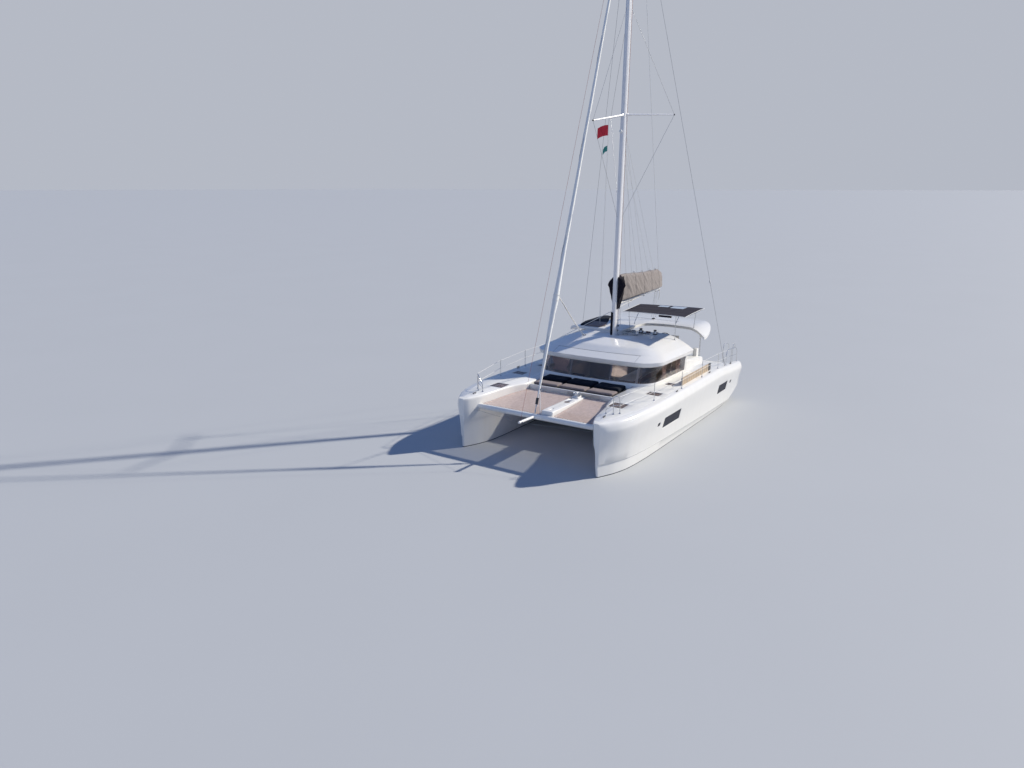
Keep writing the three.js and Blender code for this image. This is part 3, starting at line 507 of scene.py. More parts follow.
def cloth(name, color, threads, rough=0.9, depth=0.4, spread=0.25, sheen=0.2, alpha=1.0):
    """A woven fabric whose shade varies with its threads and in broad patches."""
    values = {"Sheen Weight": sheen, "Sheen Roughness": 0.5, "Specular IOR Level": 0.25, "Alpha": alpha}
    tree, inputs, place = material(name, color, rough, **values)
    weave = used(tree, "weave", {"Vector": place, "Threads": threads})
    dark = tuple(c * (1 - spread) for c in color)
    light = tuple(min(1, c * (1 + spread)) for c in color)
    shade = mixed(tree, weave["Shade"], (*dark, 1), (*light, 1))
    worn = used(
        tree, "weathering",
        {
            "Vector": place, "Color": shade, "Soil": (*light, 1), "Amount": 0.35, "Scale": 1.3,
            "Roughness": rough, "Runs": 0.2,
        },
    )
    tree.links.new(worn["Color"], inputs["Base Color"])
    bumped(tree, inputs, weave["Height"], depth, 0.002)
    return tree, inputs, place


def gelcoat_hull(paint):
    """Glossy topsides, a matt tread on the flat deck and a dark bottom below the waterline."""
    white = tuple(paint.gelcoat)
    tree, inputs, place, worn = weathered(
        "topsides", white, 0.16, soil=(0.62, 0.58, 0.48), amount=0.16, scale=0.9, runs=0.75,
        **{"Coat Weight": 0.35},
    )
    normal = node(tree, "NewGeometry").outputs["Normal"]
    height = node(tree, "SeparateXYZ", {0: place}).outputs[2]
    level = node(tree, "SeparateXYZ", {0: normal}).outputs[2]
    flat = node(tree, "MapRange", {0: level, 1: 0.985, 2: 0.995}).outputs[0]
    tread = used(tree, "tread", {"Vector": place, "Scale": 42.0})
    deck = mixed(tree, flat, worn["Color"], (white[0] * 0.93, white[1] * 0.93, white[2] * 0.91, 1))
    under = node(tree, "MapRange", {0: height, 1: 0.035, 2: 0.025}).outputs[0]
    tree.links.new(mixed(tree, under, deck, (*paint.bottom, 1)), inputs["Base Color"])
    rougher = maths(tree, "MULTIPLY_ADD", flat, 0.45)
    tree.links.new(worn["Roughness"], rougher.node.inputs[2])
    tree.links.new(rougher, inputs["Roughness"])
    bumped(tree, inputs, maths(tree, "MULTIPLY", flat, tread["Height"]), 0.25, 0.0015)


def build_materials(paint):
    build_groups()
    gelcoat_hull(paint)
    white = tuple(paint.gelcoat)
    weathered("gelcoat", white, 0.22, soil=(0.6, 0.56, 0.47), amount=0.14, scale=1.2, **{"Coat Weight": 0.3})
    weathered(
        "tread_deck", tuple(c * 0.93 for c in white), 0.6, amount=0.2, scale=1.6, bump=(160.0, 0.35, 0.002)
    )
    # Finish, colour, roughness, metal, then the soil's colour, amount and scale, and the bump.
    rows = [
        ("bottom", tuple(paint.bottom), 0.75, 0, (0.12, 0.15, 0.1), 0.6, 3.0, (35.0, 0.3, 0.003)),
        ("alloy", tuple(paint.alloy), 0.33, 0.85, (0.5, 0.5, 0.5), 0.25, 2.0, (60.0, 0.08, 0.001)),
        ("rope_red", (0.30, 0.06, 0.05), 0.85, 0, (0.5, 0.4, 0.36), 0.7, 30.0, (180.0, 0.5, 0.002)),
        ("steel", (0.66, 0.67, 0.68), 0.2, 1.0, (0.45, 0.38, 0.3), 0.22, 6.0, (90.0, 0.06, 0.001)),
        ("bronze", (0.55, 0.40, 0.22), 0.42, 1.0, (0.16, 0.24, 0.18), 0.6, 9.0, (40.0, 0.3, 0.002)),
        ("black_plastic", (0.035, 0.035, 0.038), 0.45, 0, (0.16, 0.16, 0.16), 0.3, 8.0, (240.0, 0.15, 0.001)),
        ("seal", (0.02, 0.02, 0.02), 0.6, 0, (0.1, 0.1, 0.1), 0.3, 12.0, (120.0, 0.2, 0.001)),
        ("lid", (0.055, 0.04, 0.042), 0.3, 0, (0.14, 0.10, 0.09), 0.3, 4.0),
        ("lid_light", (0.15, 0.115, 0.105), 0.25, 0, (0.34, 0.27, 0.24), 0.6, 5.0),
        ("rope", (0.74, 0.73, 0.70), 0.85, 0, (0.4, 0.37, 0.33), 0.5, 14.0, (180.0, 0.5, 0.002)),
        ("rope_dark", (0.07, 0.06, 0.08), 0.85, 0, (0.4, 0.06, 0.06), 0.8, 30.0, (180.0, 0.5, 0.002)),
        ("flag_red", (0.62, 0.03, 0.05), 0.8, 0, (0.4, 0.02, 0.03), 0.5, 8.0, (90.0, 0.2, 0.002)),
        ("flag_teal", (0.06, 0.30, 0.26), 0.8, 0, (0.04, 0.2, 0.18), 0.5, 8.0, (90.0, 0.2, 0.002)),
        ("wire", (0.30, 0.31, 0.33), 0.35, 1.0, (0.2, 0.18, 0.16), 0.4, 20.0, (300.0, 0.3, 0.001)),
    ]
    for row in rows:
        weathered(*row)
    weathered(
        "mast_paint", tuple(paint.mast), 0.38, 0.35, soil=(0.5, 0.5, 0.5), amount=0.25, scale=1.2, runs=0.8,
        bump=(70.0, 0.06, 0.001),
    )
    weathered("white_paint", white, 0.3, soil=(0.5, 0.47, 0.4), amount=0.2, scale=2.5, **{"Coat Weight": 0.2})
    weathered(
        "dial", (0.015, 0.018, 0.022), 0.08, soil=(0.08, 0.09, 0.1), amount=0.2, scale=5.0,
        **{"Coat Weight": 1.0},
    )
    cloth("cushion", tuple(paint.cushion), 420.0, depth=0.35, sheen=0.08)
    # The dark pads' near-black colour is painted shade, for the lounge backs and two of the roof pads.
    cloth("cushion_dark", tuple(paint.cushion_dark), 420.0, depth=0.35, sheen=0.02)
    cloth("cushion_pale", (0.62, 0.60, 0.56), 420.0, depth=0.35, spread=0.12)
    cloth("webbing", tuple(c * 0.8 for c in paint.bag), 500.0, depth=0.5)
    cloth("canvas", tuple(paint.bag), 360.0, depth=0.35, spread=0.18)
    cloth("canopy", tuple(paint.canopy), 380.0, depth=0.3, sheen=0.03)
    # The flap's near-black colour is painted shade, on the bag's front and the mast's foot cover.
    cloth("flap", tuple(c * 0.55 for c in paint.canopy), 380.0, depth=0.3, sheen=0.02)
    cloth("net", tuple(paint.net), 95.0, depth=0.9, spread=0.30, alpha=0.4)
    # The curtains' pale colour is painted light, raised to stand in for sunlight through the tinted panes.
    cloth("curtain", (0.80, 0.64, 0.56), 300.0, depth=0.3)
    cloth("sailcloth", (0.80, 0.80, 0.78), 260.0, rough=0.6, depth=0.12, spread=0.05, sheen=0.05)
    weathered(
        "clear_vinyl", (0.72, 0.76, 0.78), 0.12, soil=(0.6, 0.62, 0.6), amount=0.3, scale=4.0,
        **{"Coat Weight": 0.7},
    )

    tree, inputs, place = material("plank", (0.62, 0.5, 0.4), 0.6)
    wood = used(
        tree, "grain",
        {
            "Vector": place, "Light": (*paint.plank, 1), "Dark": (*(c * 0.62 for c in paint.plank), 1),
            "Scale": 5.0,
        },
    )
    tree.links.new(wood["Color"], inputs["Base Color"])
    bumped(tree, inputs, wood["Height"], 0.25, 0.002)
    tree, inputs, place = material("walnut", (0.2, 0.12, 0.08), 0.35, **{"Coat Weight": 0.3})
    wood = used(
        tree, "grain",
        {"Vector": place, "Light": (0.30, 0.17, 0.10, 1), "Dark": (0.12, 0.06, 0.035, 1), "Scale": 4.0},
    )
    tree.links.new(wood["Color"], inputs["Base Color"])
    bumped(tree, inputs, wood["Height"], 0.15, 0.001)

    tree, inputs, place = material(
        "tinted_glass", paint.glass, 0.03, **{"Transmission Weight": 1.0, "IOR": 1.45, "Coat Weight": 0.3}
    )
    smear = node(tree, "TexNoise", {"Vector": place, "Scale": 2.2, "Detail": 5.0})
    tree.links.new(
        node(tree, "MapRange", {0: smear.outputs[0], 1: 0.3, 2: 0.9, 3: 0.02, 4: 0.10}).outputs[0],
        inputs["Roughness"],
    )
    tree, inputs, place = material("dark_glass", (0.012, 0.013, 0.018), 0.2, **{"Specular IOR Level": 0.02})
    smear = node(tree, "TexNoise", {"Vector": place, "Scale": 1.6, "Detail": 5.0})
    shade = mixed(tree, smear.outputs[0], (0.018, 0.019, 0.026, 1), (0.045, 0.049, 0.07, 1))
    tree.links.new(shade, inputs["Base Color"])


# The boat's forms, as in the frame

# Sections from stem to stern: y, keel z, bilge z, then the port hull's X at the waterline inside
# and outside, at the chine and the topside outside, at the deck's inner edge, and the deck's height.
HULL_SECTIONS = [
    (-6.4, -0.2, 0, 2.815, 2.885, 2.895, 2.975, 2.74, 1.94),
    (-6.2, -0.33, 0, 2.74, 2.97, 2.985, 3.16, 2.6, 1.95),
    (-5.6, -0.43, 0, 2.54, 3.19, 3.22, 3.49, 2.4, 1.975),
    (-4.9, -0.52, 0, 2.395, 3.355, 3.41, 3.68, 2.29, 2.005),
    (-4.0, -0.58, 0, 2.36, 3.43, 3.5, 3.78, 2.11, 2.03),
    (-3.16, -0.62, 0, 2.36, 3.46, 3.535, 3.82, 1.85, 2.03),
    (0.0, -0.65, 0, 2.375, 3.48, 3.58, 3.84, 1.85, 2.03),
    (3.0, -0.47, 0, 2.38, 3.48, 3.59, 3.84, 1.85, 2.03),
    (4.7, -0.15, 0.03, 2.4, 3.47, 3.59, 3.83, 1.85, 1.93),
    (5.6, 0.09, 0.22, 2.42, 3.46, 3.58, 3.795, 1.85, 1.86),
    (6.4, 0.33, 0.48, 2.44, 3.44, 3.56, 3.73, 1.85, 1.79),
]
DECK = 2.03
STEM_SLOPE = 0.06
STAIR_FLOORS = [(5.2, 1.49), (5.52, 1.19), (5.82, 0.89), (6.1, 0.59)]
HATCHES = {
    "fore": (2.58, -4.23, 0.56, 0.56), "mid": (3.02, -2.08, 0.52, 0.44), "aft": (2.96, -0.36, 0.33, 0.33)
}
HULL_WINDOWS = [
    (-3.18, -2.96, 1.12, 1.26), (-2.62, -1.06, 0.93, 1.34), (3.26, 4.35, 0.89, 1.3), (4.72, 4.9, 1.09, 1.23)
]
COAMING = [(2.003, 2.64, 2.48), (3.3, 2.57, 2.36), (4.48, 2.52, 2.21), (4.62, 2.48, 2.06)]


def section_at(y):
    """A section between two of the table's, by a smooth curve that never overshoots them."""
    rows = HULL_SECTIONS
    following = next((i for i, row in enumerate(rows) if row[0] >= y - 1e-9), len(rows) - 1)
    following = max(1, following)
    p, q = rows[following - 1], rows[following]
    span = q[0] - p[0]
    t = (y - p[0]) / span

    def steep(row, column):
        if row == 0 or row == len(rows) - 1:
            return (q[column] - p[column]) / span
        left, right = (
            (rows[i + 1][column] - rows[i][column]) / (rows[i + 1][0] - rows[i][0]) for i in (row - 1, row)
        )
        return 2 * left * right / (left + right) if left * right > 0 else 0.0

    def value(column):
        along = (t**3 - 2 * t * t + t) * span * steep(following - 1, column)
        along += (t**3 - t * t) * span * steep(following, column)
        return (2 * t**3 - 3 * t * t + 1) * p[column] + along + (3 * t * t - 2 * t**3) * q[column]

    return [value(column) for column in range(len(p))]


def hull_ring(y, side):
    """One section's outline, with its rounded shoulder and its crisp chine."""
    _, keel, bilge_z, in_water, out_water, chine, out, inner, deck = section_at(y)
    middle = (in_water + out_water) / 2
    bow = min(1, max(0, (-5.6 - y) / 0.8))
    chine_z = max(bilge_z + 0.14, 0.48 - 0.28 * (y + 6.4) / 12.8)
    knee = inner + max(0, (in_water - inner) * 0.25) * (1 - bow)
    rounding = min(1, (out - inner) / 0.7)
    under = 0.78 if y > -3.16 else 1.15
    shoulder = deck - 0.33

    def bilge(x, share):
        a = share * math.pi / 2
        return (middle + (x - middle) * math.sin(a), keel + (bilge_z - keel) * (1 - math.cos(a)))

    points = [(middle, keel)]
    points += [bilge(out_water, s) for s in (0.3, 0.65, 1)]
    points += [(chine - 0.025, chine_z - 0.04), (chine + 0.01, chine_z)]
    points += [
        (chine + (out - chine) * share, chine_z + (shoulder - chine_z) * up)
        for share, up in ((0.3, 0.4), (0.66, 0.72), (1, 1))
    ]
    points += [
        (out - 0.01 * rounding, deck - 0.23), (out - 0.045 * rounding, deck - 0.115),
        (out - 0.105 * rounding, deck - 0.03), (out - 0.17 * rounding, deck), (inner + 0.06 * rounding, deck),
        (inner + 0.015 * rounding, deck - 0.025), (inner, deck - 0.08), (knee, under),
        (knee + (in_water - knee) * 0.6, under - 0.18), (in_water - 0.02, max(bilge_z + 0.12, 0.3)),
    ]
    points += [bilge(in_water, s) for s in (1, 0.65, 0.3)]
    slope = bow * STEM_SLOPE
    placed = [(side * x, y + slope * (deck - z), z) for x, z in points]
    chine_and_deck_edges = (4, 5, 12, 13, 16)
    return eased(placed, chine_and_deck_edges)


def hull_stations():
    bow = [-6.4, -6.37, -6.33, -6.27, -6.2, -6.1, -6.0, -5.85, -5.7, -5.55]
    body = [-5.4 + 0.2 * i for i in range(60)]
    return bow + [y for y in body if y < 6.39] + [6.4]


def hull_skin(name, side, shift=0.0):
    rings = [[point + Vector((shift, 0, 0)) for point in hull_ring(y, side)] for y in hull_stations()]
    return loft(name, rings)


def side_block(name, side, x0, x1, y0, y1, z0, z1, bevel=0.0, segments=2):
    """A block on one hull's side: x is measured out from the centre line."""
    low, high = sorted((side * x0, side * x1))
    return block(name, (low, y0, z0), (high, y1, z1), bevel, segments)


def prism(name, outline, axis, low, high):
    """An outline with a thickness along one axis, X or Z."""
    if axis == "X":
        rings = [[(x, a, b) for a, b in outline] for x in (low, high)]
    else:
        rings = [[(a, b, z) for a, b in outline] for z in (low, high)]
    return loft(name, rings)


def hull_windows(name, side):
    """Dark panes that follow the topside."""
    panes = []
    for y0, y1, z0, z1 in HULL_WINDOWS:
        low, high = sorted((side * 3.45, side * 4.1))
        pane = prism("pane", window_outline(y0 + 0.004, y1 - 0.004, z0 + 0.004, z1 - 0.004), "X", low, high)
        panes.append(cut(pane, hull_skin("inner", side, -side * 0.006), operation="INTERSECT"))
    glass = joined("hull_windows_" + name, *panes)
    fitted(glass, "dark_glass", angle=30)


class BOAT_OT_hulls(bpy.types.Operator):
    """Builds both hulls with stern steps, hatch recesses and window pockets"""

    bl_idname = "catamaran.hulls"
    bl_label = "Hulls"

    def execute(self, context):
        for name, side in SIDES.items():
            hull = hull_skin("hull_shell_" + name, side)
            bevelled(hull, 0.028, 3, 60)
            rows = [[(side * x, y, z) for x, z in coaming_ring(outer, top)] for y, outer, top in COAMING]
            cut(hull, loft("coaming", rows), operation="UNION")
            if side > 0:
                cut(hull, block("locker", (2.15, 4.15, 2.0), (2.33, 4.4, 2.6), 0.02), operation="UNION")
            stairs = [(STAIR_FLOORS[0][0], 2.4)]
            for i, (y, z) in enumerate(STAIR_FLOORS):
                end = STAIR_FLOORS[i + 1][0] if i + 1 < len(STAIR_FLOORS) else 6.6
                stairs += [(y, z), (end, z)]
            stairs.append((6.6, 2.4))
            cut(hull, prism("stair_cut", stairs, "X", *sorted((side * 1.75, side * 3.47))))
            for x, y, wide, long in HATCHES.values():
                half, reach = wide / 2 + 0.006, long / 2 + 0.006
                cut(
                    hull,
                    side_block("recess", side, x - half, x + half, y - reach, y + reach, DECK - 0.034, 2.2),
                )
            for y0, y1, z0, z1 in HULL_WINDOWS:
                outer = window_outline(y0, y1, z0, z1)
                low, high = sorted((side * 3.3, side * 4.1))
                pocket = prism("pocket", outer, "X", low, high)
                cut(pocket, hull_skin("inner", side, -side * 0.014))
                cut(hull, pocket)
            bevelled(hull, 0.008, 2, 50)
            fitted(hull, "topsides", stands_for=["hull_" + name], angle=32)
            hull_windows(name, side)
        return {"FINISHED"}


def coaming_ring(outer, top):
    inner, foot = 1.86, DECK - 0.14
    return [
        (inner, foot), (outer, foot), (outer - 0.02, top - 0.06), (outer - 0.09, top), (inner + 0.06, top),
        (inner, top - 0.04),
    ]


def window_outline(y0, y1, z0, z1, corner=0.03):
    """A rounded rectangle of y and z."""
    points = [(0, y0, z0), (0, y1, z0), (0, y1, z1), (0, y0, z1)]
    cut_points = []
    for i, point in enumerate(points):
        for other in (points[i - 1], points[(i + 1) % 4]):
            a, b = Vector(point), Vector(other)
            cut_points.append(a + (b - a).normalized() * corner)
        cut_points.insert(-1, Vector(point).lerp((Vector(cut_points[-1]) + Vector(cut_points[-2])) / 2, 0.45))
    return [(p.y, p.z) for p in cut_points]


def inner_side(y, z):
    """The port hull's inner side at a height above the knee."""
    _, _, _, in_water, _, _, _, inner, deck = section_at(y)
    bow = min(1, max(0, (-5.6 - y) / 0.8))
    under = 0.78 if y > -3.16 else 1.15
    knee = inner + max(0, (in_water - inner) * 0.25) * (1 - bow)
    return inner + (knee - inner) * (deck - 0.08 - z) / (deck - 0.08 - under)


class BOAT_OT_underwater(bpy.types.Operator):
    """Rounds the keels, rudders, drive legs and propellers under the waterline"""

    bl_idname = "catamaran.underwater"
    bl_label = "Under water"

    def execute(self, context):
        for name in SIDES:
            rows = (
                ("keel", "root", "bottom", "antifoul", 0.012),
                ("rudder", "rudder_" + name, "bottom", "antifoul", 0.006),
                ("saildrive", "root", "black_plastic", "plastic", 0.006),
                ("propeller", "propeller_" + name, "bronze", "bronze", 0.0025),
            )
            for kind, body, finish, slot, bevel in rows:
                source = kind + "_" + name
                dressed(source, finish, bevel, body, slot=slot)
        return {"FINISHED"}


def deck_hatch(name, side, x, y, wide, long):
    foot = DECK - 0.0337
    half, reach = wide / 2, long / 2

    def part(label, border, z0, z1, bevel):
        a, b = half - border, reach - border
        return side_block(name + label, side, x - a, x + a, y - b, y + b, foot + z0, foot + z1, bevel, 3)

    lid = cut(part("_lid", 0, 0, 0.026, 0.006), part("_well", 0.055, 0.016, 0.1, 0))
    fitted(lid, "lid", name, stands_for=[name])
    fitted(part("_pane", 0.0555, 0.0162, 0.0235, 0.003), "lid_light", name)
    fittings = []
    for shift in (-0.3, 0.3):
        at = (side * x + shift * wide, y + reach - 0.028, foot + 0.0255)
        rows = [(0.016, 0), (0.016, 0.0015), (0.009, 0.0025), (0.002, 0.003)]
        fittings.append(turned("knob", rows, at, sides=16))
        low = (side * x + shift * wide - 0.03, y - reach + 0.002, foot + 0.024)
        high = (side * x + shift * wide + 0.03, y - reach + 0.03, foot + 0.0278)
        fittings.append(block("leaf", low, high, 0.0015))
    fitted(joined(name + "_fittings", *fittings), "black_plastic", name)


class BOAT_OT_hatches(bpy.types.Operator):
    """Fits each flush deck hatch with a framed pane, hinges and handles"""

    bl_idname = "catamaran.hatches"
    bl_label = "Deck hatches"

    def execute(self, context):
        for side_name, side in SIDES.items():
            for place, sizes in HATCHES.items():
                deck_hatch(f"hatch_{place}_{side_name}", side, *sizes)
        return {"FINISHED"}


# Bridgedeck, lounge and cockpit

BRIDGE_X = 1.8497
BRIDGE_FRONT = -3.16
COCKPIT_FLOOR = 1.25
LOUNGE_FLOOR = 1.56


def floor_lockers():
    """Flush lids in the cockpit's floor with ring pulls."""
    lids, pulls = [], []
    for x, y in ((-1.2, 2.6), (-0.3, 2.6), (-0.3, 3.1), (0.2, 4.2)):
        z = COCKPIT_FLOOR
        lids.append(block("lid", (x - 0.21, y - 0.2, z + 0.0005), (x + 0.21, y + 0.2, z + 0.007), 0.003))
        pulls.append(
            turned(
                "pull", [(0.028, 0), (0.028, 0.003), (0.018, 0.004), (0.017, 0.001)],
                (x, y + 0.14, z + 0.007), sides=20,
            )
        )
    fitted(joined("floor_lids", *lids), "tread_deck")
    fitted(joined("floor_pulls", *pulls), "steel")


class BOAT_OT_bridgedeck(bpy.types.Operator):
    """Dresses the bridgedeck with panel seams, treads and lockers"""

    bl_idname = "catamaran.bridgedeck"
    bl_label = "Bridgedeck"

    def execute(self, context):
        deck = refined("bridgedeck", 0.014, 3, 40)
        for x in (-1.22, -0.12, 1.305):
            seam = block(
                "seam", (x - 0.004, BRIDGE_FRONT - 0.01, 1.08), (x + 0.004, BRIDGE_FRONT + 0.012, 1.92)
            )
            cut(deck, seam)
        cut(deck, block("seam", (-1.84, BRIDGE_FRONT - 0.01, 1.5), (1.84, BRIDGE_FRONT + 0.006, 1.508)))
        fitted(deck, "gelcoat", stands_for=["bridgedeck"])
        levels = (COCKPIT_FLOOR, LOUNGE_FLOOR, DECK)
        banded(deck, "tread_deck", lambda c, n: n.z > 0.99 and min(abs(c.z - z) for z in levels) < 0.004)
        floor_lockers()
        return {"FINISHED"}


class BOAT_OT_lounge(bpy.types.Operator):
    """Lays the forward lounge's pads: pale seats behind the coaming, and backs below the windows painted near
    black as the deckhouse's shade
    """

    bl_idname = "catamaran.lounge"
    bl_label = "Forward lounge"

    def execute(self, context):
        low, high = (-1.77, -3.06, LOUNGE_FLOOR + 0.001), (1.77, -1.775, 1.93)
        # The base is black so that the gaps round and under the pads show as painted shade.
        base = block("lounge_base", low, high, 0.015)
        fitted(base, "seal", slot="cushion", stands_for=["lounge_cushions"])
        seats = [(-1.775, -0.62), (-0.6, 0.6), (0.62, 1.775)]
        for i, (x0, x1) in enumerate(seats):
            cushion(f"lounge_seat_{i + 1}", (x0, -3.066, 1.935), (x1, -2.53, 2.05), "cushion")
            # The backs are painted near black as the shade under the deckhouse's front; the seats keep the
            # cushions' own colour.
            cushion(f"lounge_back_{i + 1}", (x0, -2.52, 1.935), (x1, -1.78, 2.13), "cushion_dark")
        return {"FINISHED"}


CLOTH_STEPS = 20
PRESSURE = 4


def plump(piece, voxel, cap):
    """A pad swollen by pressure: cloth is run on a remeshed copy, and no point moves past the cap.

    Sizes are in metres; the run takes CLOTH_STEPS frames.
    """
    alone(piece)
    bpy.ops.object.duplicate(linked=False)
    swollen = bpy.context.object
    finished(swollen, "REMESH", mode="VOXEL", voxel_size=voxel)
    rest = [vertex.co.copy() for vertex in swollen.data.vertices]
    alone(swollen)
    modifier = swollen.modifiers.new("Cloth", "CLOTH")
    settings = modifier.settings
    settings.use_pressure = True
    settings.uniform_pressure_force = PRESSURE
    settings.effector_weights.gravity = 0
    modifier.point_cache.frame_start, modifier.point_cache.frame_end = 1, CLOTH_STEPS
    for step in range(1, CLOTH_STEPS + 1):
        bpy.context.scene.frame_set(step)
    bpy.ops.object.modifier_apply(modifier=modifier.name)
    bpy.context.scene.frame_set(1)
    for vertex, start in zip(swollen.data.vertices, rest):
        moved = vertex.co - start
        if moved.length > cap:
            vertex.co = start + moved.normalized() * cap
    finished(swollen, "SUBSURF", levels=1, render_levels=1)
    name = piece.name
    bpy.data.objects.remove(piece)
    swollen.name = swollen.data.name = name
    return swollen


def cushion(name, low, high, finish):
    """A padded cushion between two corners, with a sewn channel across its middle."""
    low, high = Vector(low), Vector(high)
    size = high - low
    swell = min(0.018, min(size) * 0.12)
    inset = Vector((swell, swell, swell))
    pad = block(name, low + inset, high - inset, min(size) * 0.3, 4)
    pad = plump(pad, 0.022, swell)
    thin = min(range(3), key=lambda i: size[i])
    middle = (low + high) / 2
    for vertex in pad.data.vertices:
        near = math.exp(-(((vertex.co.x - middle.x) / 0.016) ** 2))
        vertex.co[thin] += (middle[thin] - vertex.co[thin]) * 0.16 * near
        vertex.co = [min(max(c, a), b) for c, a, b in zip(vertex.co, low, high)]
    fitted(pad, finish, angle=80)


# Deckhouse, coachroof and hardtop

# Coachroof rings: z, front, bow of the front, flat half width, corner length, half widths at the
# corner and aft, back.
ROOF_RINGS = [
    (2.84, -1.57, 0.09, 1.95, 0.9, 2.81, 2.9, 2.08),
    (2.985, -1.6, 0.09, 1.95, 0.92, 2.83, 2.93, 2.11),
    (3.16, -1.15, 0.13, 1.65, 0.9, 2.54, 2.66, 2.13),
    (3.35, -0.76, 0.16, 1.45, 0.82, 2.17, 2.28, 2.13),
    (3.45, -0.36, 0.17, 1.3, 0.7, 1.92, 2.05, 2.12),
    (3.54, 0.08, 0.1, 1.1, 0.5, 1.6, 1.7, 2.08),
]
# The room under the roof: z and the wall's width at each of the rings above.
CAVITY = [(2.835, 0.245), (2.87, 0.26), (3.1, 0.08), (3.29, 0.07), (3.39, 0.07), (3.48, 0.07)]
SEAM_Z = 3.16
HARDTOP = {"edge": 2.98, "flat": 2.1, "top": 3.6503, "thick": 0.11, "droop": 0.37}
HARDTOP_OUTLINE = [
    (-2.0, 1.15), (-2.6, 1.4), (-2.86, 1.9), (-2.96, 3.2), (-2.85, 4.2), (-2.6, 5.08), (-2.2, 5.52),
    (-1.5, 5.7), (0, 5.75), (1.5, 5.7), (2.2, 5.52), (2.6, 5.08), (2.85, 4.2), (2.96, 3.4), (2.9, 3.26),
    (2.6, 3.42), (1.6, 3.65), (0.7, 3.64), (0.23, 3.45), (0.06, 3.15), (0.03, 2.7), (0.03, 1.15),
]
POST = (2.36, 4.45)
ROOF_FRONT_END = 0.3


def house_outline(front, bowed, flat_x, corner_y, side_x, back_x, back, inset=0.0):
    """A bowed front, elliptical corners and nearly straight sides, from starboard aft to port aft."""
    half = [(flat_x * s / 5, front + inset + bowed * (s / 5) ** 2) for s in range(6)]
    for step in range(1, 11):
        turn = step / 10 * math.pi / 2
        x = flat_x + (side_x - inset - flat_x) * math.sin(turn)
        half.append((x, front + inset + bowed + corner_y * (1 - math.cos(turn))))
    half += [((side_x + back_x) / 2 - inset, (front + back) / 2 + 0.4), (back_x - inset, back)]
    return [(-x, y) for x, y in reversed(half[1:])] + half


def roof_ring(z, inset=0.0):
    """The roof's outline at a height; the seam's groove runs only round the front."""
    lower = max(i for i, row in enumerate(ROOF_RINGS[:-1]) if row[0] <= z + 1e-9)
    p, q = ROOF_RINGS[lower], ROOF_RINGS[lower + 1]
    share = (z - p[0]) / (q[0] - p[0])
    sizes = [a + (b - a) * share for a, b in zip(p[1:], q[1:])]
    outer, inner = house_outline(*sizes), house_outline(*sizes, inset=inset)
    return [(*(b if a[1] < -0.35 and -1.8 < a[0] < 1.95 else a), z) for a, b in zip(outer, inner)]


def on_roof(x, z):
    """The point of the roof's front slope at a place across and a height."""
    ring = [p for p in roof_ring(z) if p[1] < ROOF_FRONT_END]
    a, b = next((a, b) for a, b in zip(ring, ring[1:]) if min(a[0], b[0]) <= x <= max(a[0], b[0]))
    share = (x - a[0]) / (b[0] - a[0])
    return Vector((x, a[1] + (b[1] - a[1]) * share, z))


def saloon_furniture():
    """The settee, and the galley with its worktop."""
    worktops = [
        block("worktop", (1.17, -1.42, 2.19), (1.83, 1.32, 2.225), 0.008),
        block("worktop", (0.48, 0.87, 2.19), (1.24, 1.53, 2.225), 0.008),
    ]
    fitted(joined("galley_worktop", *worktops), "gelcoat")
    dressed("saloon_galley", "walnut", 0.006)
    base = [
        block("base", (-1.79, -1.47, 1.2505), (0.99, -0.86, 1.6), 0.01),
        block("base", (-1.79, -0.87, 1.2505), (-1.16, 0.29, 1.6), 0.01),
    ]
    fitted(joined("settee_base", *base), "walnut", stands_for=["saloon_settee"])
    rows = [
        ("seat_1", (-1.79, -1.3, 1.602), (-0.4, -0.86, 1.745)),
        ("seat_2", (-0.39, -1.3, 1.602), (0.99, -0.86, 1.745)),
        ("seat_3", (-1.79, -0.85, 1.602), (-1.16, 0.29, 1.745)),
        ("back_1", (-1.79, -1.47, 1.75), (-0.4, -1.34, 1.99)),
        ("back_2", (-0.39, -1.47, 1.75), (0.99, -1.34, 1.99)),
    ]
    for label, low, high in rows:
        cushion("settee_" + label, low, high, "cushion")


def saloon_curtains():
    """Gathered curtains just behind the panes; rows hold name, start, end and height span."""
    rows = [
        ("front_starboard", (-1.93, -1.28), (-1.02, -1.42), 2.19, 2.75),
        ("port_forward", (2.53, -0.25), (2.55, 0.15), 2.17, 2.75),
        ("port_aft", (2.58, 1.0), (2.61, 1.45), 2.17, 2.75),
        ("starboard_aft", (-2.58, 1.0), (-2.61, 1.45), 2.17, 2.75),
    ]
    for label, start, end, z0, z1 in rows:
        a, b = Vector((*start, 0)), Vector((*end, 0))
        along, folds = b - a, max(5, round((b - a).length / 0.09))
        across = Vector((-along.y, along.x, 0)).normalized()
        rings = []
        for i in range(13):
            z = z0 + (z1 - z0) * i / 12
            tied = 1 - 0.3 * math.exp(-(((z - z0) / (z1 - z0) - 0.35) / 0.25) ** 2)
            line = []
            for j in range(folds * 8 + 1):
                s = j / (folds * 8)
                wave = math.sin(s * folds * 2 * math.pi + 0.7 * math.sin(3 * s)) * 0.022
                line.append(a + along * (0.5 + (s - 0.5) * tied) + across * wave + UP * z)
            rings.append(line)
        piece = loft("curtain_" + label, rings, closed=False)
        finished(piece, "SOLIDIFY", thickness=0.0015, offset=0)
        fitted(piece, "curtain", angle=80)


class BOAT_OT_deckhouse(bpy.types.Operator):
    """Dresses the deckhouse walls, tinted panes, curtains and the furniture behind them"""

    bl_idname = "catamaran.deckhouse"
    bl_label = "Deckhouse"

    def execute(self, context):
        dressed("deckhouse_frame", "gelcoat", 0.004)
        for name in ("window_front", "window_port", "window_starboard"):
            dressed(name, "tinted_glass", 0, angle=40)
        saloon_furniture()
        saloon_curtains()
        return {"FINISHED"}


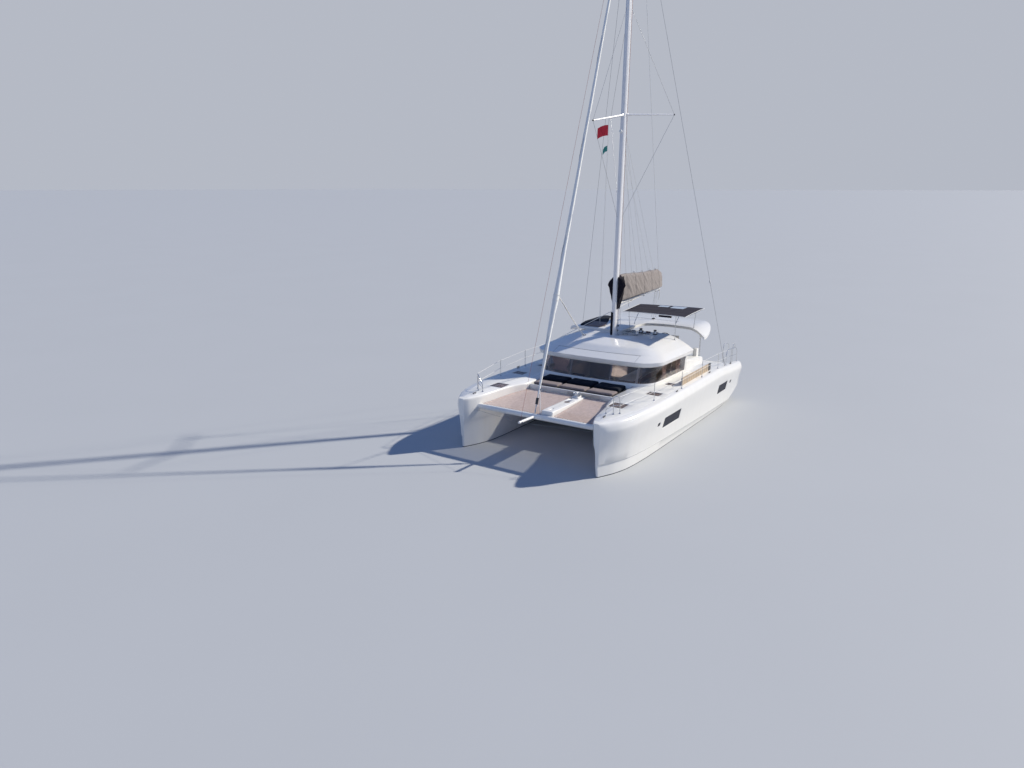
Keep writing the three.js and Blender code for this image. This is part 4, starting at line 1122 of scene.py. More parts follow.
def coachroof_rings():
    rows = []
    steps = [2.84, 2.86, 2.9, 2.94, 2.97, 2.985, 2.99, 3.01, 3.05, 3.1, 3.14, 3.155]
    rows += [roof_ring(z) for z in steps]
    rows += [roof_ring(3.1565), roof_ring(3.158, 0.012), roof_ring(3.162, 0.012), roof_ring(3.1635)]
    steps = [3.18, 3.22, 3.27, 3.31, 3.35, 3.38, 3.41, 3.44, 3.46, 3.48, 3.5, 3.52, 3.535, 3.54]
    rows += [roof_ring(z) for z in steps]
    return rows


def roof_gear():
    """Winches, rope clutches and the deck organisers that lead the lines aft."""
    for i, (x, y) in enumerate([(0.73, 1.62), (1.36, 1.66)]):
        winch(f"roof_winch_{i + 1}", (x, y, 3.541 if x < 1 else 3.53), 1.05)
    bodies, levers = [], []
    for i in range(8):
        x = 0.2 + i * 0.09 + (0.24 if i > 3 else 0)
        bodies.append(block("clutch", (x, 1.22, 3.541), (x + 0.07, 1.4, 3.6), 0.012))
        levers.append(block("lever", (x + 0.012, 1.2, 3.6), (x + 0.058, 1.36, 3.618), 0.007))
    fitted(joined("rope_clutches", *bodies), "white_paint", slot="plastic")
    fitted(joined("clutch_levers", *levers), "black_plastic")
    wheels = []
    for x in (0.28, 0.37, 0.46, 0.7, 0.79, 0.88):
        rows = [(0.03, 0), (0.034, 0.006), (0.022, 0.014), (0.022, 0.022), (0.034, 0.03), (0.03, 0.036)]
        wheels.append(turned("sheave", rows, (x, 0.8 + x * 0.12, 3.545), sides=20))
    fitted(joined("deck_organisers", *wheels), "black_plastic")


def roof_ropes():
    """Lines from the mast's foot through the organisers and clutches, and their stowed tails."""
    light, dark = [], []
    for i in range(8):
        x = 0.235 + i * 0.09 + (0.24 if i > 3 else 0)
        turn_x = 0.24 + i * 0.095
        points = [(0.06 + i * 0.012, 0.62, 3.6), (turn_x * 0.55, 0.7, 3.565), (turn_x, 0.84, 3.565)]
        points += [(x, 1.15, 3.57), (x, 1.46, 3.572)]
        drum = 0.73 if i < 4 else 1.36
        points += [(x + (drum - x) * 0.5, 1.55, 3.58)]
        (dark if i in (1, 4, 6) else light).append(bent(points))
    lines_of("lines_aft_light", light, "rope", 0.006, 8, slot="")
    lines_of("lines_aft_dark", dark, "rope_dark", 0.006, 8)
    coils = []
    for k, (x, y) in enumerate([(0.3, 1.86), (0.98, 1.88), (1.3, 1.94), (0.62, 1.95), (0.2, 1.1)]):
        loops = []
        for j in range(150):
            a = j * 0.21
            sway = 0.02 * math.sin(a * 0.37 + k)
            loops.append(
                (x + (0.1 + sway) * math.cos(a), y - 0.06 + (0.035 + sway) * math.sin(a), 3.548 + j * 0.0004)
            )
        coils.append(loops)
    lines_of("rope_coils", coils[::2], "rope", 0.006, 6, slot="")
    lines_of("rope_coil_dark", coils[1::2], "rope_dark", 0.006, 6)


class BOAT_OT_coachroof(bpy.types.Operator):
    """Builds the coachroof with its visor, its front seam and the deck gear aft of the mast"""

    bl_idname = "catamaran.coachroof"
    bl_label = "Coachroof"

    def execute(self, context):
        roof = loft("coachroof_dressed", coachroof_rings())
        cavity = []
        for (z, inset), row in zip(CAVITY, ROOF_RINGS):
            sizes = list(row[1:-1]) + [2.3]
            cavity.append([(x, y, z) for x, y in house_outline(*sizes, inset=inset)])
        cut(roof, loft("cavity", cavity))
        for x, y, z in LEG_FEET[:2]:
            rows = [(0.058, -0.1), (0.058, -0.012), (0.052, 0.0)]
            cut(roof, turned("leg_pad", rows, (x, y, z), sides=24), operation="UNION")
        bevelled(roof, 0.012, 3, 55)
        fitted(roof, "gelcoat", stands_for=["coachroof"], angle=38)
        banded(roof, "seal", lambda c, n: abs(c.z - SEAM_Z) < 0.0028 and c.y < -0.35 and -1.8 < c.x < 1.95)
        seams = [[on_roof(x, z) for z in (3.158, 3.1, 3.04, 2.99, 2.92)] for x in (-1.76, 1.9)]
        fitted(tubes("roof_seams", seams, 0.004, 6), "seal", slot="plastic")
        roof_gear()
        roof_ropes()
        return {"FINISHED"}


def winch(name, at, size):
    """A self-tailing winch: a flared drum on a black base, with a ribbed top."""
    base = turned(
        "base", [(0.085 * size, 0), (0.09 * size, 0.012), (0.08 * size, 0.035), (0.055 * size, 0.045)], at,
        sides=32,
    )
    rows = [
        (0.052, 0.045), (0.052, 0.06), (0.044, 0.085), (0.043, 0.12), (0.05, 0.14), (0.062, 0.148),
        (0.062, 0.154),
    ]
    drum = turned("drum", [(r * size, h * size) for r, h in rows], at, sides=32)
    rows = [
        (0.06, 0.156), (0.064, 0.162), (0.05, 0.17), (0.064, 0.178), (0.064, 0.186), (0.045, 0.192),
        (0.018, 0.193),
    ]
    top = turned("top", [(r * size, h * size) for r, h in rows], at, sides=32)
    fitted(joined(name + "_base", base, top), "black_plastic")
    fitted(drum, "steel")
    drum.name = drum.data.name = name


class BOAT_OT_bulkhead(bpy.types.Operator):
    """Dresses the aft bulkhead, its panes and the glazed sliding door"""

    bl_idname = "catamaran.bulkhead"
    bl_label = "Aft bulkhead and door"

    def execute(self, context):
        dressed("aft_bulkhead", "gelcoat", 0.006)
        for name in ("bulkhead_window_port", "bulkhead_window_starboard"):
            dressed(name, "tinted_glass", 0.002)
        low, high = Vector((-0.89, 2.012, 1.2803)), Vector((0.09, 2.052, 3.221))
        door = block("sliding_door_dressed", low, high, 0.006)
        rail = 0.075
        hole_low, hole_high = low + Vector((rail, -0.1, rail)), high + Vector((-rail, 0.1, -rail))
        cut(door, block("light", hole_low, hole_high))
        bevelled(door, 0.003, 2, 60)
        fitted(door, "white_paint", "saloon_door", slot="alloy", stands_for=["sliding_door"])
        pane = block(
            "door_pane", (low.x + rail - 0.01, 2.028, low.z + rail - 0.01),
            (high.x - rail + 0.01, 2.036, high.z - rail + 0.01), 0.001,
        )
        fitted(pane, "tinted_glass", "saloon_door")
        grip = bent([(0.05, 2.052, 2.1), (0.05, 2.085, 2.12), (0.05, 2.085, 2.4), (0.05, 2.052, 2.42)])
        fitted(tubes("door_handle", [grip], 0.009, 12), "steel", "saloon_door")
        return {"FINISHED"}


def hardtop_top(x):
    share = max(0.0, (abs(x) - HARDTOP["flat"]) / (HARDTOP["edge"] - HARDTOP["flat"]))
    return HARDTOP["top"] - HARDTOP["droop"] * share**2


def crowned(name, outline, z0, z1):
    """A slab that follows the hardtop's camber between two heights above it."""
    across = [(i / 30 - 1) * HARDTOP["edge"] for i in range(61)]
    ring = [(x, hardtop_top(x) + z1) for x in across] + [(x, hardtop_top(x) + z0) for x in reversed(across)]
    skin = loft(name, [[(x, y, z) for x, z in ring] for y in (1.0, 6.0)])
    return cut(skin, prism("outline", outline, "Z", 2.5, 4.2), operation="INTERSECT")


def hardtop_posts():
    x, y = POST
    under = hardtop_top(x) - HARDTOP["thick"]
    bars, plates = [], []
    for side in SIDES.values():
        bars.append([(side * x, y, 2.217), (side * x, y, under - 0.002)])
        for z, way in ((2.215, 1), (under - 0.001, -1)):
            rows = [(0.055, 0), (0.055, 0.006), (0.03, 0.012), (0.0265, 0.04)]
            plates.append(turned("flange", rows, (side * x, y, z), UP * way, sides=24))
    bars.append([(-x, y, under - 0.09), (x, y, under - 0.09)])
    tube = tubes("tube", bars[:2], 0.024, 16)
    cross = tubes("cross", bars[2:], 0.02, 16)
    fitted(joined("hardtop_frame_dressed", tube, cross, *plates), "steel", stands_for=["hardtop_frame"])


def roof_pads():
    """Three sewn panels; the one nearest the mast has the cushions' own colour, and the other two are painted
    near black as shade.
    """
    # The two dark panels are painted shade; the panel nearest the mast keeps the cushions' own colour.
    rows = [
        ("roof_pad_1", "cushion", [(-1.72, 1.3), (-1.15, 1.3), (-1.0, 1.7), (-1.28, 2.42), (-1.92, 2.42)]),
        (
            "roof_pad_2", "cushion_dark",
            [
                (-2.05, 1.3), (-1.735, 1.3), (-1.935, 2.435), (-1.285, 2.435), (-1.6, 3.26), (-2.45, 3.26),
                (-2.35, 2.3),
            ],
        ),
        (
            "roof_pad_3", "cushion_dark",
            [(-2.45, 3.275), (-1.605, 3.275), (-1.9, 4.1), (-2.35, 4.15), (-2.5, 3.6)],
        ),
    ]
    for i, (name, finish, outline) in enumerate(rows):
        pad = crowned(name, outline, 0.004, 0.052)
        bevelled(pad, 0.016, 3, 50)
        pad = plump(pad, 0.02, 0.007)
        for vertex in pad.data.vertices:
            floor = hardtop_top(vertex.co.x) + 0.001
            vertex.co.z = min(max(vertex.co.z, floor), floor + 0.06)
        fitted(pad, finish, slot="cushion", stands_for=["roof_pad"] if i == 0 else (), angle=80)


class BOAT_OT_hardtop(bpy.types.Operator):
    """Builds the cockpit's cambered hardtop, its posts and the sun pad on it"""

    bl_idname = "catamaran.hardtop"
    bl_label = "Hardtop"

    def execute(self, context):
        outline = [
            (p.x, p.y) for p in eased([(x, y, 0) for x, y in HARDTOP_OUTLINE], sharp=(0, 21), rounds=3)
        ]
        top = crowned("hardtop_dressed", outline, -HARDTOP["thick"], 0)
        bevelled(top, 0.03, 4, 50)
        fitted(top, "gelcoat", stands_for=["hardtop"], angle=38)
        hardtop_posts()
        roof_pads()
        return {"FINISHED"}


# Helm and cockpit

WHEEL_CENTRE, WHEEL_RADIUS = (1.5, 2.42, 3.13), 0.38
CANOPY_Z = 4.48
# The cloth's corners, from forward starboard round to aft starboard.
CANOPY = [(0.11, 1.11), (2.88, 1.06), (2.71, 3.74), (-0.16, 3.39)]
# The canopy's legs: the forward two stand on the coachroof's pads, the aft two on the hardtop.
LEG_FEET = [(2.2, 1.8, 3.395), (0.36, 1.33, 3.555), (2.33, 3.62), (-0.18, 2.95)]
LEG_HEADS = [(2.23, 1.72), (0.33, 1.23), (2.4, 3.58), (-0.06, 3.27)]
HELM_RIGHT = 1.8494


def helm_console():
    """Screens on the slanted face, throttles, a compass and two winches."""
    screens, rims = [], []
    for x, wide, high in ((1.16, 0.24, 0.1), (1.5, 0.15, 0.1), (1.74, 0.12, 0.09)):
        middle = Vector((x, 2.287, 3.283))
        normal = Vector((0, 0.1, 0.09)).normalized()
        along = Vector((0, 0.09, -0.1)).normalized()
        for grow, lift, bunch in ((0.012, 0.006, rims), (0, 0.009, screens)):
            ring = []
            for sx, sy in ((-1, -1), (1, -1), (1, 1), (-1, 1)):
                ring.append(
                    middle + Vector((sx * (wide / 2 + grow), 0, 0))
                    + along * sy * (high / 2 + grow) + normal * lift
                )
            bunch.append(loft("screen", [[p - normal * 0.01 for p in ring], ring]))
    fitted(joined("helm_screen_rims", *rims), "black_plastic")
    fitted(joined("helm_screens", *screens), "dial")
    dome = turned(
        "compass", [(0.06, 0), (0.062, 0.02), (0.052, 0.05), (0.03, 0.072), (0.008, 0.08)],
        (1.5, 2.19, 3.332), sides=28,
    )
    fitted(dome, "black_plastic")
    lever_base = block("throttle", (1.79, 2.2, 3.331), (1.835, 2.24, 3.36), 0.008)
    levers = [bent([(x, 2.21, 3.35), (x, 2.2, 3.42), (x, 2.17, 3.47)], 1) for x in (1.8, 1.825)]
    fitted(joined("throttle_levers", lever_base, tubes("lever", levers, 0.007, 10)), "steel")
    winch("helm_winch_1", (1.12, 2.2, 3.331), 0.85)
    winch("helm_winch_2", (0.75, 2.16, 2.351), 0.9)


def helm_wheel():
    """A ribbed black rim, and spokes with a hub."""
    x, y, z = WHEEL_CENTRE
    radius = WHEEL_RADIUS - 0.014
    alone()
    bpy.ops.mesh.primitive_torus_add(
        location=(x, y, z), rotation=(math.pi / 2, 0, 0), major_radius=radius, minor_radius=0.0135,
        major_segments=72, minor_segments=14,
    )
    rim = settle(take("steering_wheel_rim"))
    for vertex in rim.data.vertices:
        angle = math.atan2(vertex.co.z - z, vertex.co.x - x)
        ring = Vector((x + radius * math.cos(angle), y, z + radius * math.sin(angle)))
        vertex.co = ring + (vertex.co - ring) * (1 - 0.05 * (math.cos(angle * 36) > 0.8))
    fitted(rim, "black_plastic", "wheel", slot="steel", angle=60)
    lines = []
    for i in range(5):
        a = math.pi / 2 + i * 2 * math.pi / 5
        out = Vector((math.cos(a), 0, math.sin(a)))
        hub = Vector((x, y - 0.02, z))
        lines.append(
            [
                (*(hub + out * 0.03), 1.2), (*(hub + out * 0.2 + Vector((0, 0.012, 0))), 0.9),
                (*(Vector((x, y, z)) + out * radius), 0.8),
            ]
        )
    spokes = tubes("spokes", lines, 0.009, 10)
    rows = [(0.034, 0.0), (0.034, 0.04), (0.042, 0.055), (0.042, 0.085), (0.036, 0.098), (0.018, 0.108)]
    hub = turned("hub", rows, (x, 2.3305, z), (0, 1, 0), sides=28)
    fitted(joined("steering_wheel_dressed", spokes, hub), "steel", "wheel", stands_for=["steering_wheel"])


def helm_seat():
    """A moulded box with a pale seat and backrest, and a rail behind them."""
    low, high = (0.905, 2.965, 2.3505), (HELM_RIGHT - 0.004, 3.33, 2.78)
    fitted(block("helm_seat_base", low, high, 0.02, 3), "gelcoat", stands_for=["helm_seat"])
    cushion("helm_seat_cushion", (0.905, 2.96, 2.782), (HELM_RIGHT - 0.004, 3.25, 2.895), "cushion_pale")
    cushion("helm_backrest", (0.92, 3.252, 2.93), (HELM_RIGHT - 0.02, 3.332, 3.285), "cushion_pale")
    lines = [[(x, 3.325, 2.7), (x, 3.335, 3.27)] for x in (1.0, 1.75)]
    fitted(tubes("helm_seat_rail", lines, 0.01, 10), "steel")


class BOAT_OT_helm(bpy.types.Operator):
    """Dresses the helm: console with dials and levers, steering wheel, seat and winches"""

    bl_idname = "catamaran.helm"
    bl_label = "Helm"

    def execute(self, context):
        station = dressed("helm_station", "gelcoat", 0.012, segments=3)
        banded(station, "tread_deck", lambda c, n: n.z > 0.99 and c.z < 2.4)
        helm_console()
        helm_wheel()
        helm_seat()
        return {"FINISHED"}


def canopy_at(u, v):
    """The cloth between its four corners: edges hollowed a little, crowned between the bars."""
    a, b, c, d = (Vector((*corner, 0)) for corner in CANOPY)
    u_in = u + 0.006 * math.sin(math.pi * v) * (1 - 2 * u)
    v_in = v + 0.006 * math.sin(math.pi * u) * (1 - 2 * v)
    place = a.lerp(b, u_in).lerp(d.lerp(c, u_in), v_in)
    crown = 0.018 * math.sin(math.pi * u) ** 0.7 + 0.012 * math.sin(math.pi * v) ** 0.7
    ripple = 0.004 * noise.noise(Vector((place.x * 1.5, place.y * 3.5, 3.0)))
    place.z = CANOPY_Z + 0.012 + crown + ripple * math.sin(math.pi * u) * math.sin(math.pi * v)
    return place


def canopy_trim():
    """A white welt along the outer edge, and seams over the bars."""
    steps = 36
    loop = border(canopy_at, steps)
    lines_of("canopy_edge", [loop], "white_paint", 0.011, 8, slot="sailcloth", closed=True)
    seams = [[canopy_at(i / steps, v) + UP * 0.001 for i in range(steps + 1)] for v in (0.34, 0.66)]
    lines_of("canopy_seams", seams, "canopy", 0.003, 6)


def canopy_panes():
    """Two clear windows for looking up at the sails."""
    rings = []
    for u0, u1, v0, v1 in ((0.34, 0.5, 0.78, 0.96), (0.55, 0.76, 0.71, 0.955)):
        pane = loft(
            "pane", patch(lambda u, v: canopy_at(u, v) + UP * 0.0015, 10, (u0, v0), (u1, v1)), closed=False
        )
        rings.append(finished(pane, "SOLIDIFY", thickness=0.002, offset=1))
    windows = edited(joined("canopy_windows", *rings), outward)
    fitted(windows, "clear_vinyl")


def canopy_bars():
    """Bent legs, a hoop under the cloth, braces and the feet's sockets."""
    head = CANOPY_Z - 0.0153
    feet = [Vector(foot if len(foot) == 3 else (*foot, hardtop_top(foot[0]) - 0.02)) for foot in LEG_FEET]
    lines = []
    for foot, (x, y) in zip(feet, LEG_HEADS):
        lines.append(bent([foot, foot + UP * 0.12, (x, y, head - 0.12), (x, y, head)]))
    heads = [LEG_HEADS[i] for i in (0, 1, 3, 2)]
    hoop = eased([(x, y, head) for x, y in heads], rounds=3)
    legs = tubes("legs", lines, 0.015, 12)
    ring = tubes("hoop", [hoop], 0.0149, 12, closed=True)
    middle = [[(0.13, 2.3, head), (2.32, 2.5, head), (2.76, 2.52, head)]]
    middle += [[(x, y, head), (out, y, head)] for (x, y), out in ((LEG_HEADS[0], 2.81), (LEG_HEADS[2], 2.69))]
    middle += [[(2.81, 1.72, head), (2.69, 3.58, head)]]
    cross = tubes("cross", middle, 0.0125, 12)
    braces = []
    for i, other in ((0, 2), (2, 0)):
        x, y = LEG_HEADS[i]
        toward = Vector((*LEG_HEADS[other], head)) - Vector((x, y, head))
        foot = feet[i]
        braces.append([foot.lerp(Vector((x, y, head)), 0.62), Vector((x, y, head)) + toward * 0.2])
    brace = tubes("braces", braces, 0.01, 10)
    sockets = [
        turned("socket", [(0.034, 0), (0.034, 0.008), (0.022, 0.02), (0.02, 0.06)], foot, sides=20)
        for foot in feet
    ]
    fitted(joined("canopy_frame", legs, ring, cross, brace, *sockets), "steel", stands_for=["bimini_frame"])


def canopy_bundle():
    """A rolled windscreen tied under the forward edge."""
    y, z = 1.17, CANOPY_Z - 0.03
    rings = []
    for i in range(41):
        x = 1.7 + 0.55 * i / 40
        tied = 0.8 if i % 10 == 5 else 1.0
        radius = (0.052 if 0 < i < 40 else 0.035) * tied
        rings.append(
            [
                (
                    x, y + radius * math.cos(a) * (1 + 0.1 * noise.noise(Vector((x * 6, a, 0)))),
                    z - 0.02 + radius * 0.8 * math.sin(a),
                )
                for a in angles(16)
            ]
        )
    roll = fitted(loft("rolled_windscreen", rings), "canopy", angle=70)


class BOAT_OT_canopy(bpy.types.Operator):
    """Stretches the dark sun canopy over its stainless frame, with two pale windows in it"""

    bl_idname = "catamaran.canopy"
    bl_label = "Helm canopy"

    def execute(self, context):
        canopy = loft("canopy_cloth", patch(canopy_at, 36), closed=False)
        finished(canopy, "SOLIDIFY", thickness=0.004, offset=-1)
        edited(canopy, outward)
        fitted(canopy, "canopy", stands_for=["bimini_panel"], angle=60)
        canopy_trim()
        canopy_panes()
        canopy_bars()
        canopy_bundle()
        return {"FINISHED"}


class BOAT_OT_cockpit(bpy.types.Operator):
    """Lays the cockpit's benches with their cushions, and the table"""

    bl_idname = "catamaran.cockpit"
    bl_label = "Cockpit"

    def execute(self, context):
        boxes = [
            block("bench", (-1.845, 4.76, 1.2505), (0.89, 5.46, 1.56), 0.015, 3),
            block("bench", (-1.845, 3.01, 1.2505), (-1.32, 4.78, 1.56), 0.015, 3),
        ]
        fitted(joined("bench_bases", *boxes), "gelcoat", stands_for=["cockpit_bench"])
        rows = [
            ("bench_seat_1", (-1.845, 4.75, 1.562), (-0.94, 5.27, 1.68)),
            ("bench_seat_2", (-0.93, 4.75, 1.562), (-0.03, 5.27, 1.68)),
            ("bench_seat_3", (-0.02, 4.75, 1.562), (0.89, 5.27, 1.68)),
            ("bench_seat_4", (-1.845, 3.01, 1.562), (-1.31, 3.87, 1.68)),
            ("bench_seat_5", (-1.845, 3.88, 1.562), (-1.31, 4.74, 1.68)),
            ("bench_back_1", (-1.84, 5.29, 1.685), (-0.94, 5.46, 1.99)),
            ("bench_back_2", (-0.93, 5.29, 1.685), (-0.03, 5.46, 1.99)),
            ("bench_back_3", (-0.02, 5.29, 1.685), (0.89, 5.46, 1.99)),
        ]
        for name, low, high in rows:
            cushion(name, low, high, "cushion")
        top = block("table_top", (-1.0, 3.5, 1.93), (-0.12, 4.5, 1.97), 0.014, 3)
        fitted(top, "walnut", stands_for=["cockpit_table"])
        rows = [
            (0.15, 0.0005), (0.15, 0.012), (0.062, 0.035), (0.055, 0.06), (0.055, 0.62), (0.13, 0.66),
            (0.13, 0.679),
        ]
        fitted(turned("table_leg", rows, (-0.56, 4.0, COCKPIT_FLOOR), sides=32), "alloy")
        return {"FINISHED"}


# Foredeck

BEAM = {"y": -5.74, "z": 1.56, "r": 0.1}
CATWALK = {"x": 0.45, "half": 0.24, "top": 1.8}
NET = {"z": 1.634, "rise": 0.14, "front": -5.6397, "back": -3.1603}


def bow_windlass():
    """A horizontal windlass: base, gearbox, chain wheel and drum, with foot switches."""
    x, y, z = CATWALK["x"], -3.4, 1.93
    base = block("base", (x - 0.12, -3.56, 1.8004), (x + 0.12, -3.26, 1.855), 0.014, 3)
    box_piece = block("gearbox", (x - 0.055, -3.49, 1.84), (x + 0.055, -3.31, 2.0), 0.03, 4)
    fitted(joined("windlass_body", base, box_piece), "white_paint", slot="steel", stands_for=["windlass"])
    rows = [
        (0.03, 0.05), (0.07, 0.056), (0.074, 0.066), (0.05, 0.08), (0.05, 0.092), (0.074, 0.106),
        (0.07, 0.116), (0.03, 0.122), (0.02, 0.15),
    ]
    wheel = turned("wheel", rows, (x, y, z), (1, 0, 0), sides=30)
    rows = [
        (0.03, 0.05), (0.066, 0.056), (0.046, 0.08), (0.042, 0.11), (0.05, 0.13), (0.062, 0.14),
        (0.05, 0.148), (0.02, 0.15),
    ]
    drum = turned("drum", rows, (x, y, z), (-1, 0, 0), sides=30)
    fitted(joined("windlass_wheels", wheel, drum), "steel")
    buttons = [
        turned(
            "button", [(0.028, 0), (0.028, 0.01), (0.022, 0.018), (0.004, 0.02)], (x - shift, -3.66, 1.8),
            sides=24,
        )
        for shift in (0.17, 0.1)
    ]
    fitted(joined("windlass_switches", *buttons), "black_plastic")


def bow_sprit():
    """A tapered spar with an end ring and its heel fitting."""
    start, end = Vector((0, BEAM["y"] - 0.095, BEAM["z"])), Vector((0, -6.78, 1.59))
    length = (end - start).length
    rows = [(0.044, 0), (0.0495, 0.03), (0.0495, length - 0.05), (0.044, length - 0.012), (0.02, length)]
    spar = turned("bowsprit_dressed", rows, start, end - start, sides=32)
    fitted(spar, "white_paint", stands_for=["bowsprit"])
    rows = [
        (0.0505, length - 0.16), (0.0535, length - 0.155), (0.0535, length - 0.1), (0.0505, length - 0.095)
    ]
    band = turned("band", rows, start, end - start, sides=32)
    loops = []
    for side in (1, -1):
        at = start.lerp(end, (length - 0.13) / length)
        ring = [
            at + Vector((side * (0.052 + 0.02 * math.sin(a)), 0.025 * math.cos(a), 0))
            for a in (math.pi * i / 8 for i in range(9))
        ]
        loops.append(ring)
    top = [
        start.lerp(end, (length - 0.13) / length) + Vector((0, 0.03 * math.cos(a), 0.05 + 0.03 * math.sin(a)))
        for a in (math.pi * i / 8 for i in range(9))
    ]
    loops.append(top)
    fitted(joined("bowsprit_fittings", band, tubes("eyes", loops, 0.006, 8)), "steel")
    stays = []
    for side in SIDES.values():
        far = Vector((side * 2.62, -6.02, 1.5))
        stays.append([start.lerp(end, 0.93) + Vector((side * 0.055, 0, 0)), far])
    lines_of("bowsprit_stays", stays, "wire", 0.004, 8)


def bow_and_side_cleats():
    pieces = []
    for side in SIDES.values():
        for x, y in ((2.75, -5.66), (3.62, -1.3), (3.6, 2.35), (3.62, 5.02)):
            z = section_at(y)[8]
            foot_a, foot_b = (side * x, y - 0.05, z), (side * x, y + 0.05, z)
            feet = [
                turned("foot", [(0.026, -0.002), (0.022, 0.004), (0.012, 0.014), (0.012, 0.04)], at, sides=16)
                for at in (foot_a, foot_b)
            ]
            horn = [
                (side * x, y - 0.13, z + 0.048, 0.5), (side * x, y - 0.06, z + 0.043, 1),
                (side * x, y + 0.06, z + 0.043, 1), (side * x, y + 0.13, z + 0.048, 0.5),
            ]
            pieces += feet + [tubes("horn", [horn], 0.013, 12)]
    fitted(joined("mooring_cleats", *pieces), "black_plastic", slot="steel", angle=60)


class BOAT_OT_foredeck(bpy.types.Operator):
    """Builds the crossbeam, catwalk, windlass, bowsprit and the bow cleats"""

    bl_idname = "catamaran.foredeck"
    bl_label = "Foredeck"

    def execute(self, context):
        low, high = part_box("crossbeam")
        rows = [(0.096, low[0]), (0.1, low[0] + 0.02), (0.1, high[0] - 0.02), (0.096, high[0])]
        beam = turned("crossbeam_dressed", rows, (0, BEAM["y"], BEAM["z"]), (1, 0, 0), sides=40)
        fitted(beam, "white_paint", stands_for=["crossbeam"])
        walk = refined("catwalk", 0.03, 4)
        x, top = CATWALK["x"], CATWALK["top"]
        for shift in (-0.13, 0.13):
            cut(
                walk,
                block(
                    "groove", (x + shift - 0.009, -5.4, top - 0.01), (x + shift + 0.009, -3.7, top + 0.1),
                    0.004,
                ),
            )
        cut(walk, block("slot", (x - 0.05, -5.45, top - 0.02), (x + 0.03, -5.15, top + 0.1), 0.006))
        cut(walk, turned("well", [(0.115, -0.012), (0.115, 0.1)], (x, -4.17, top), sides=40))
        fitted(walk, "gelcoat", stands_for=["catwalk"])
        rows = [(0.108, -0.0118), (0.108, -0.002), (0.1, 0.002), (0.03, 0.003)]
        fitted(turned("catwalk_lid", rows, (x, -4.17, top), sides=40), "lid_light")
        bow_windlass()
        bow_sprit()
        bow_and_side_cleats()
        return {"FINISHED"}


def net_edges(side, y):
    """The net's edge beside the catwalk and its edge beside the hull, measured outwards."""
    return CATWALK["half"] + side * CATWALK["x"] + 0.03, inner_side(y, 1.63) - 0.03


def net_at(side, u, v):
    """A point of the net: u from the catwalk to the hull, v from the beam aft."""
    y = NET["front"] + 0.03 + (NET["back"] - NET["front"] - 0.06) * v
    inner, outer = net_edges(side, y)
    sag = 0.010 * math.sin(math.pi * u) * math.sin(math.pi * v)
    return Vector((side * (inner + (outer - inner) * u), y, NET["z"] + NET["rise"] * v - 0.001 - sag))


def laced_net(name, side):
    steps = 48
    surface = functools.partial(net_at, side)
    sheet = loft("trampoline_" + name + "_cloth", patch(surface, steps), closed=False)
    finished(sheet, "SOLIDIFY", thickness=0.003, offset=0)
    edited(sheet, outward)
    fitted(sheet, "net", stands_for=["trampoline_" + name], angle=80)
    loop = border(surface, steps)
    hem = tubes("hem", [loop], 0.0045, 8, closed=True)
    seam = tubes("seam", [[surface(i / steps, 0.5) for i in range(steps + 1)]], 0.003, 6)
    fitted(joined("net_hem_" + name, hem, seam), "net", angle=80)
    lacing = []
    for i in range(0, len(loop), 3):
        here, centre = loop[i], loop[(i + 1) % len(loop)]
        out = (here - surface(0.5, 0.5)).normalized()
        flat = Vector((out.x, 0, 0)) if abs(
            here.y - NET["front"]
        ) > 0.05 and abs(here.y - NET["back"]) > 0.05 else Vector((0, out.y, 0))
        reach = flat.normalized() * 0.032 if flat.length else Vector((0, 0, 0))
        lacing.append([here, here + reach + UP * 0.002, centre.lerp(here, 0.3)])
    lines_of("net_lacing_" + name, lacing, "rope", 0.003, 6, slot="netting")
    spans = [net_edges(side, NET["front"] + 2.48 * (i + 0.5) / 20) for i in range(20)]


class BOAT_OT_nets(bpy.types.Operator):
    """Laces the woven nets between the hulls, the catwalk and the crossbeam"""

    bl_idname = "catamaran.nets"
    bl_label = "Trampolines"

    def execute(self, context):
        for name, side in SIDES.items():
            laced_net(name, side)
        return {"FINISHED"}


# Rig

MAST = {"y": 0.475, "foot": 3.54, "rake": 0.029, "deep": 0.33, "wide": 0.2}
HOUNDS_Z = 21.0
SPREADERS = {"forward": (0, -1.84, 11.96), "port": (1.42, 2.42, 12.4), "starboard": (-1.42, 2.42, 12.4)}
GOOSENECK = (0, 0.83, 4.85)
BOOM_START, BOOM_END = Vector((0, 0.925, 4.853)), Vector((0, 5.13, 4.98))
BOOM_FORE, BOOM_LONG = 0.925, 4.205
# The bag's front and length, and its straps' first place and spacing, along the boom.
BAG_FRONT, BAG_LONG = 0.9, 4.25
STRAP_FIRST, STRAP_STEP = 0.42, 0.85
# Places along the boom: y, the bag's height, and its half widths low down and at the top.
BAG = [
    (0.9, 1.08, 0.12, 0.095), (1.5, 1.05, 0.185, 0.12), (3.2, 0.91, 0.195, 0.12), (4.7, 0.86, 0.175, 0.11),
    (5.15, 0.7, 0.13, 0.08),
]
STAY_FOOT = Vector((0, -5.72, 1.67))
# The rolled sail: its radius at heights along the stay.
ROLL = [
    (0.038, 0.9), (0.052, 1.2), (0.072, 2.2), (0.105, 3.7), (0.118, 4.3), (0.1, 4.9), (0.08, 6.0),
    (0.072, 9.0), (0.062, 13.0), (0.048, 17.0), (0.026, 18.7),
]
CHAINPLATE = (3.62, 4.23, 1.945)


def mast_y(z):
    return MAST["y"] + (z - MAST["foot"]) * MAST["rake"]


STAY_TOP = Vector((0, mast_y(HOUNDS_Z) - MAST["deep"] / 2 - 0.002, HOUNDS_Z))
STAY_ALONG = (STAY_TOP - STAY_FOOT).normalized()


def on_stay(height):
    return STAY_FOOT + STAY_ALONG * height


